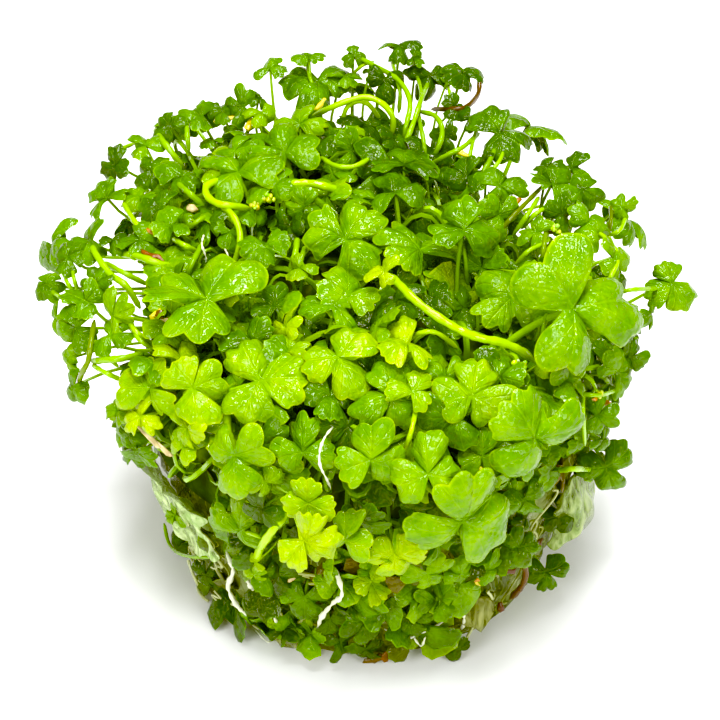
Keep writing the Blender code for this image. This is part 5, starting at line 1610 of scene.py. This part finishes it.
# White roots: fleshy threads that hang on the wall and lie on the ground at its foot. Each is given
# by its radius in millimetres and its route. Finer ones lie on the wall all round.
ROOT_STEPS = 30
ROOT_SIDES = 7
ROOT_RAGGED = 0.26
ROOT_TONE = (0.9, 0.9, 0.9, 1)
WALL_ROOT_COUNT = 60
WALL_ROOT_SIDES = 6
WALL_ROOT_HEIGHT_MM = (5, 23)
WALL_ROOT_DROP_MM = (1, 13)
WALL_ROOT_LIFT_MM = (-0.5, 0.7)
WALL_ROOT_RADIUS_MM = (0.09, 0.22)
WALL_ROOT_FLOOR = 0.5 * MM
ROOT_RELIEF = 0.08 * MM
ROOT_COLOURS = [(0.0, (0.22, 0.26, 0.05, 1)), (0.5, (0.50, 0.54, 0.26, 1)), (1.0, (0.78, 0.80, 0.62, 1))]
ROOTS = [
    (0.16, [(333, 427, 3.0), (325, 437, 3.6), (320, 450, 3.6), (320, 465, 3.2), (327, 480, 2.8),
            (331, 490, 1.8)]),
    (0.32, [(226, 553, 1.4), (233, 571, 2.0), (228, 587, 2.0), (236, 604, 1.9), (248, 614, 1.8),
            (266, 610, 1.4)]),
    (0.30, [(240, 568, 1.1), (248, 582, 1.2), (258, 597, 1.0)]),
    (0.32, [(335, 569, 2.0), (342, 594, 2.4), (333, 603, 2.4), (321, 618, 2.1), (317, 634, 1.6)]),
    (0.19, [(268, 603, 1.0), (274, 617, 1.2), (281, 632, 0.9)]),
    (0.13, [(254, 630, 0.8), (268, 642, 0.9), (276, 657, 0.9), (292, 662, 0.7)]),
    (0.13, [(385, 662, 0.7), (397, 656, 0.9), (406, 642, 0.8)]),
    (0.14, [(412, 636, 1.2), (421, 646, 1.4), (426, 637, 1.3), (432, 646, 1.0)]),
    (0.15, [(384, 630, 1.0), (404, 638, 1.2), (420, 634, 1.2), (446, 622, 1.0)]),
    (0.30, [(404, 598, 1.4), (394, 606, 1.6), (383, 617, 1.2)]),
    (0.24, [(455, 588, 1.2), (460, 604, 1.5), (464, 618, 1.4), (462, 631, 1.0)]),
    (0.14, [(203, 234, 2.0), (202, 245, 1.8), (206, 259, 1.4)]),
    (0.12, [(224, 248, 1.8), (230, 259, 1.6), (236, 271, 1.0)]),
]


def root_finish():
    """Wet white to yellowish root skin."""
    material, shader, knots = new_finish("white_root")
    noise = knots.noise(knots.place(), 300.0)
    value = knots.plus(knots.tone("Fac"), knots.times(knots.minus(noise, 0.5), 0.5), clamp=True)
    film = knots.group(WET_FILM)
    knots.give(shader, {"Base Color": knots.ramp(value, ROOT_COLOURS), "Roughness": film["Roughness"],
                        "Normal": knots.bump(film["Height"], ROOT_RELIEF)})
    return material


WHITE_ROOT = root_finish()

root_points, root_faces = photo_tubes(ROOTS, ROOT_STEPS, ROOT_SIDES, ROOT_RAGGED)
add_piece("white_roots", [WHITE_ROOT], root_points, root_faces,
          tone=np.tile(ROOT_TONE, (len(root_points), 1)))

dice = np.random.default_rng(31)


def each_root(low, high):
    """A random value between two for each root on the wall."""
    return dice.uniform(low, high, (WALL_ROOT_COUNT, 1))


run = np.linspace(0, 1, ROOT_STEPS)[None, :]
root_around = each_root(0, 2 * math.pi) + dice.normal(0, 0.22, (WALL_ROOT_COUNT, 1)) * run
root_around = root_around + 0.05 * np.sin(run * each_root(5, 14))
root_height = each_root(*WALL_ROOT_HEIGHT_MM) * MM - each_root(*WALL_ROOT_DROP_MM) * MM * run
root_height = np.maximum(root_height + 0.6 * MM * np.sin(run * each_root(4, 12)), WALL_ROOT_FLOOR)
root_lift = each_root(*WALL_ROOT_LIFT_MM) * MM + 0.3 * MM * np.sin(run * 9)
root_routes = leaned(turned(wall_radius(root_height) + root_lift, root_around, root_height))
root_thick = each_root(*WALL_ROOT_RADIUS_MM) * MM * np.ones(ROOT_STEPS)
root_points, root_faces = stalk_tubes(root_routes, root_thick, WALL_ROOT_SIDES)
root_tone = each_root(0.0, 0.55) * (1, 1, 1, 0) + (0, 0, 0, 1)
add_piece("wall_roots", [WHITE_ROOT], root_points, root_faces,
          tone=np.repeat(root_tone, ROOT_STEPS * WALL_ROOT_SIDES, axis=0))

# Buds, old nodes and dead bits: small lumps. Buds are clusters of yellow-green beads, and the dead
# bits are flat crumpled scraps of leaf and stem in orange, brown, maroon and cream.
LUMP_ROWS = 7
LUMP_COLUMNS = 10
LUMP_RIPPLE = 1.1 * MM
BEADS_PER_BUD = 9
SCRAP_CRUMPLE = 0.6
SCRAP_FLOOR = 0.9 * MM
SCRAP_HALF_THICK_MM = 0.22
BIT_RELIEF = 0.2 * MM
BIT_MOTTLE = [(0.3, (0.45, 0.4, 0.35, 1)), (0.6, (1, 1, 1, 1))]
BEAD_DARKEST = (0.28, 0.50, 0.01, 1)
BEAD_PALEST = (0.62, 0.80, 0.08, 1)
BUDS = [
    # pixel, lift and radius in millimetres
    (492, 249, 2.6, 0.55), (521, 364, 2.4, 0.55), (555, 230, 2.2, 0.45), (255, 205, 2.0, 0.45),
    (252, 568, 1.8, 0.40), (478, 470, 2.0, 0.40), (600, 394, 2.8, 0.35), (268, 199, 1.6, 0.5),
]
ORANGE = (0.46, 0.19, 0.02)
YELLOW = (0.72, 0.60, 0.05)
BROWN = (0.13, 0.060, 0.015)
RUST = (0.22, 0.060, 0.012)
MAROON = (0.10, 0.010, 0.016)
CREAM = (0.62, 0.50, 0.24)
DARK = (0.012, 0.008, 0.004)
Scrap = namedtuple("Scrap", "photo_x photo_y lift_mm length_mm width_mm heading colour")
SCRAPS = [
    Scrap(605, 402, 2.0, 2.6, 0.9, -10, ORANGE),
    Scrap(515, 203, 1.4, 2.0, 1.0, 40, ORANGE),
    Scrap(225, 120, 1.4, 2.2, 1.2, 10, YELLOW),
    Scrap(231, 117, 1.4, 1.4, 0.9, 60, ORANGE),
    Scrap(249, 126, 1.4, 2.0, 1.0, 70, YELLOW),
    Scrap(322, 103, 1.4, 2.0, 0.9, 60, YELLOW),
    Scrap(190, 208, 0.9, 1.8, 1.0, -10, CREAM),
    Scrap(155, 289, 0.8, 1.8, 1.1, 80, YELLOW),
    Scrap(156, 315, 0.6, 1.8, 1.0, 60, YELLOW),
    Scrap(169, 167, 1.4, 2.6, 1.0, 120, ORANGE),
    Scrap(172, 175, 1.4, 2.0, 0.8, 170, ORANGE),
    Scrap(165, 328, 0.6, 2.4, 1.3, 60, CREAM),
    Scrap(484, 114, 2.4, 1.8, 0.9, -30, YELLOW),
    Scrap(463, 153, 1.8, 1.6, 0.8, -20, YELLOW),
    Scrap(160, 235, 1.8, 3.0, 0.9, -20, ORANGE),
    Scrap(152, 256, 1.6, 3.2, 0.9, -25, RUST),
    Scrap(143, 430, 2.0, 3.6, 1.0, -45, CREAM),
    Scrap(158, 446, 1.8, 3.4, 0.9, -40, CREAM),
    Scrap(160, 318, 0.4, 2.2, 1.5, 90, BROWN),
    Scrap(168, 332, 0.4, 2.4, 1.6, 70, BROWN),
    Scrap(552, 231, 2.0, 1.2, 0.6, 20, DARK),
    Scrap(487, 577, 1.8, 2.4, 1.2, 20, ORANGE),
    Scrap(478, 583, 1.4, 1.8, 1.0, -30, YELLOW),
    Scrap(467, 590, 1.2, 1.4, 1.0, 0, CREAM),
    Scrap(535, 548, 1.2, 2.6, 1.4, 50, MAROON),
    Scrap(508, 570, 1.2, 1.8, 1.4, 30, MAROON),
    Scrap(501, 606, 1.0, 1.4, 1.2, 60, MAROON),
    Scrap(577, 484, 1.0, 2.2, 1.6, 60, RUST),
    Scrap(573, 494, 0.8, 1.8, 1.2, 40, BROWN),
    Scrap(376, 661, 0.8, 2.0, 1.5, 10, BROWN),
    Scrap(384, 657, 0.8, 1.6, 1.3, 60, RUST),
    Scrap(477, 615, 1.4, 1.2, 0.9, 10, BROWN),
    Scrap(345, 573, -0.4, 1.6, 1.3, 0, BROWN),
    Scrap(292, 580, 0.6, 1.2, 0.8, 50, CREAM),
    Scrap(420, 550, 1.6, 1.2, 0.7, 20, CREAM),
    Scrap(618, 386, 2.2, 1.2, 0.7, 70, MAROON),
]


def add_lumps(name, finish, crop, sizes, seed, crumple=0.22, floor=0.0, tone=None):
    """Closed lumpy balls as one piece, squeezed to three half sizes along their spots' axes.

    Tone has one value of four numbers for each ball.
    """
    polar = np.repeat(np.linspace(math.pi, 0, LUMP_ROWS + 2)[1:-1], LUMP_COLUMNS)
    around = np.tile(np.linspace(0, 2 * math.pi, LUMP_COLUMNS, endpoint=False), LUMP_ROWS)
    ball = turned(np.sin(polar), around, np.cos(polar))
    ball = np.concatenate(([(0, 0, -1)], ball, [(0, 0, 1)]))
    spun = ball[None] * sizes[:, None, :]
    bumpy = ripples((spun + crop.hub[:, None, :] * 3).reshape(-1, 3), LUMP_RIPPLE, seed)
    spun = spun * (1 + crumple * bumpy.reshape(len(sizes), -1, 1))
    points = (crop.hub[:, None, :] + crop.along[:, None, :] * spun[:, :, :1]
              + crop.across[:, None, :] * spun[:, :, 1:2] + crop.up[:, None, :] * spun[:, :, 2:]).reshape(-1, 3)
    points[:, 2] = np.maximum(points[:, 2], floor)
    first = (np.arange(len(sizes)) * len(ball))[:, None, None]
    faces = [(first + group).reshape(-1, group.shape[1]) for group in turned_grid(LUMP_ROWS, LUMP_COLUMNS)]
    point_tone = None if tone is None else np.repeat(tone, len(ball), axis=0)
    add_piece(name, [finish], points, faces, tone=point_tone)


def bit_finish():
    """Dead or young plant bits in their own colour, mottled and wet."""
    material, shader, knots = new_finish("plant_bit")
    noise = knots.noise(knots.place(), 900.0, 3.0)
    film = knots.group(WET_FILM)
    knots.give(shader, {
        "Base Color": knots.blend(0.8, knots.tone(), knots.ramp(noise, BIT_MOTTLE), "MULTIPLY"),
        "Roughness": film["Roughness"], "Normal": knots.bump(noise, BIT_RELIEF)})
    return material


PLANT_BIT = bit_finish()

scrap_crop = photo_leaf_crop([
    (scrap.photo_x, scrap.photo_y, scrap.heading, scrap.length_mm, scrap.lift_mm, 0, 0) for scrap in SCRAPS])
scrap_crop.hub[:, 2] = np.maximum(scrap_crop.hub[:, 2], SCRAP_FLOOR)
scrap_sizes = np.array([
    (scrap.length_mm / 2, scrap.width_mm / 2.4, SCRAP_HALF_THICK_MM) for scrap in SCRAPS]) * MM
add_lumps("dead_bits", PLANT_BIT, scrap_crop, scrap_sizes, 41, SCRAP_CRUMPLE,
          tone=[scrap.colour + (1,) for scrap in SCRAPS])

dice = np.random.default_rng(43)
bud_count = len(BUDS) * BEADS_PER_BUD
bud_x, bud_y, bud_lift_mm, bud_radius_mm = np.repeat(np.array(BUDS), BEADS_PER_BUD, axis=0).T
bead_radius = (bud_radius_mm * MM)[:, None]
bead_way = unit(dice.normal(size=(bud_count, 3)))
bead_hub = photo_spots(bud_x, bud_y, bud_lift_mm * MM)[0]
bead_hub = bead_hub + bead_way * bead_radius * dice.uniform(0.5, 1.5, (bud_count, 1))
bead_crop = Leaves(bead_hub, *np.tile(np.eye(3)[:, None, :], (1, bud_count, 1)), bead_radius)
bead_sizes = bead_radius * dice.uniform(0.45, 0.8, (bud_count, 3))
add_lumps("buds", PLANT_BIT, bead_crop, bead_sizes, 44,
          tone=dice.uniform(BEAD_DARKEST, BEAD_PALEST, (bud_count, 4)))

# Culture jelly: thin clear whitish films that still cling to the wall, and two soft lumps at its foot.
# The right one sags away from the wall like a small bag, most of all low down.
Film = namedtuple("Film", "node from_degrees to_degrees low_mm high_mm lift_mm thickness_mm sag_mm")
FILMS = [
    Film("jelly_left", 193, 228, 10.5, 24.5, 0.85, 0.7, 0.0),
    Film("jelly_right", 327, 354, 8.4, 19.5, 0.85, 0.8, 2.6),
]
FLARE_START = 0.62
FILM_ROWS = 40
FILM_COLUMNS = 56
FILM_WAVELENGTH = 2.6 * MM
FILM_WRINKLE = 0.34 * MM
FILM_MIDDLE_RADIUS = 27 * MM
# The film's low and high edges: how far they wave, and the share that their corners round off
FILM_LOW_WAVE = 1.4 * MM
FILM_LOW_CORNER = 0.16
FILM_HIGH_WAVE = 1.2 * MM
FILM_HIGH_CORNER = 0.12
# The share of its thickness that a film has at its very edge
FILM_EDGE_SHARE = 0.18
JELLY_RELIEF = 0.6 * MM
JELLY_LUMP_HUB_FLOOR = 2.4 * MM
JELLY_LUMP_FLOOR = 0.2 * MM
JELLY_LUMPS = [
    # pixel, lift, and three half sizes in millimetres
    (476, 611, 0.8, 2.5, 2.3, 0.9),
    (300, 650, 0.5, 3.4, 0.9, 0.7),
]


def film_shell(row, seed):
    """A wrinkled film on the wall: an outer and an inner skin that meet all round its edge.

    The sag is a sine wave up the film, drawn towards its low edge, times a parabola across it.
    """
    low, high = row.low_mm * MM, row.high_mm * MM
    share = np.linspace(0, 1, FILM_ROWS)[:, None]
    turn = np.linspace(math.radians(row.from_degrees), math.radians(row.to_degrees), FILM_COLUMNS)[None, :]
    side = np.linspace(-1, 1, FILM_COLUMNS)[None, :]
    tall = high - low
    bottom = low + FILM_LOW_WAVE * np.sin(turn * 21 + seed) ** 2 + tall * FILM_LOW_CORNER * side ** 4
    top = high - FILM_HIGH_WAVE * np.sin(turn * 15 + 2 * seed) ** 2 - tall * FILM_HIGH_CORNER * side ** 4
    height = bottom + (top - bottom) * share
    turn = turn + 0.035 * np.sin(height / MM * 0.9 + seed) * np.abs(side)
    flat = turned(FILM_MIDDLE_RADIUS, turn, height).reshape(-1, 3)
    fold = (ripples(flat * (1, 1, 0.45), FILM_WAVELENGTH, seed) * FILM_WRINKLE).reshape(height.shape)
    edge = np.clip(np.minimum(np.minimum(share, 1 - share) * 8, (1 - np.abs(side)) * 5), 0, 1) ** 0.5
    bag = row.sag_mm * MM * np.sin(math.pi * (share * 0.92 + 0.08) ** 0.5) * (1 - side ** 2)
    flare = FLARE_START * np.maximum(height - PLUG_HEIGHT, 0)
    outer = wall_radius(height) + flare + row.lift_mm * MM + fold + bag
    inner = outer - row.thickness_mm * MM * (FILM_EDGE_SHARE + (1 - FILM_EDGE_SHARE) * edge)
    points = np.concatenate([leaned(turned(radius, turn, height)).reshape(-1, 3) for radius in (outer, inner)])
    index = np.arange(FILM_ROWS * FILM_COLUMNS).reshape(FILM_ROWS, FILM_COLUMNS)
    outside = np.stack((index[:-1, :-1], index[:-1, 1:], index[1:, 1:], index[1:, :-1]), axis=2).reshape(-1, 4)
    inside = outside[:, ::-1] + index.size
    ring = np.concatenate((index[0, :-1], index[:-1, -1], index[-1, :0:-1], index[:0:-1, 0]))
    following = np.roll(ring, -1)
    rim = np.stack((following, ring, ring + index.size, following + index.size), axis=1)
    return points, [np.concatenate((outside, inside, rim))]


def jelly_finish(name, clear_colour, milky_colour):
    """Clear culture jelly: see-through with milkier streaks, wet and finely wrinkled."""
    material, shader, knots = new_finish(name)
    place = knots.place()
    wide = knots.add("Mapping", {"Vector": place, "Scale": (1.0, 1.0, 0.35)}).outputs[0]
    wrinkle = knots.noise(wide, 700.0, 3.0, Distortion=1.5)
    cover = knots.plus(knots.noise(place, 210.0, 4.0), knots.times(wrinkle, 0.5))
    knots.give(shader, {
        "Base Color": knots.ramp(wrinkle, [(0.35, clear_colour), (0.65, milky_colour)]),
        "Normal": knots.bump(wrinkle, JELLY_RELIEF), "Alpha": knots.spread(cover, 0.54, 0.84, 0.26, 0.88),
        "Roughness": 0.16, "IOR": 1.34})
    return material


JELLY_FILM = jelly_finish("jelly_film", (0.28, 0.46, 0.11, 1), (0.66, 0.80, 0.38, 1))
JELLY_BAG = jelly_finish("jelly_bag", (0.12, 0.22, 0.025, 1), (0.38, 0.48, 0.18, 1))
JELLY_LUMP = jelly_finish("jelly_lump", (0.09, 0.11, 0.012, 1), (0.34, 0.36, 0.12, 1))

for number, film_row in enumerate(FILMS):
    film_points, film_faces = film_shell(film_row, 51 + number)
    add_piece("clear_" + film_row.node, [JELLY_BAG if film_row.sag_mm else JELLY_FILM],
              film_points, film_faces, [film_row.node])

lump_crop = photo_leaf_crop([(row[0], row[1], 0, 1, row[2], 0, 0) for row in JELLY_LUMPS])
lump_crop.hub[:, 2] = np.maximum(lump_crop.hub[:, 2], JELLY_LUMP_HUB_FLOOR)
add_lumps("jelly_lumps", JELLY_LUMP, lump_crop, np.array(JELLY_LUMPS)[:, 3:] * MM, 61,
          floor=JELLY_LUMP_FLOOR)
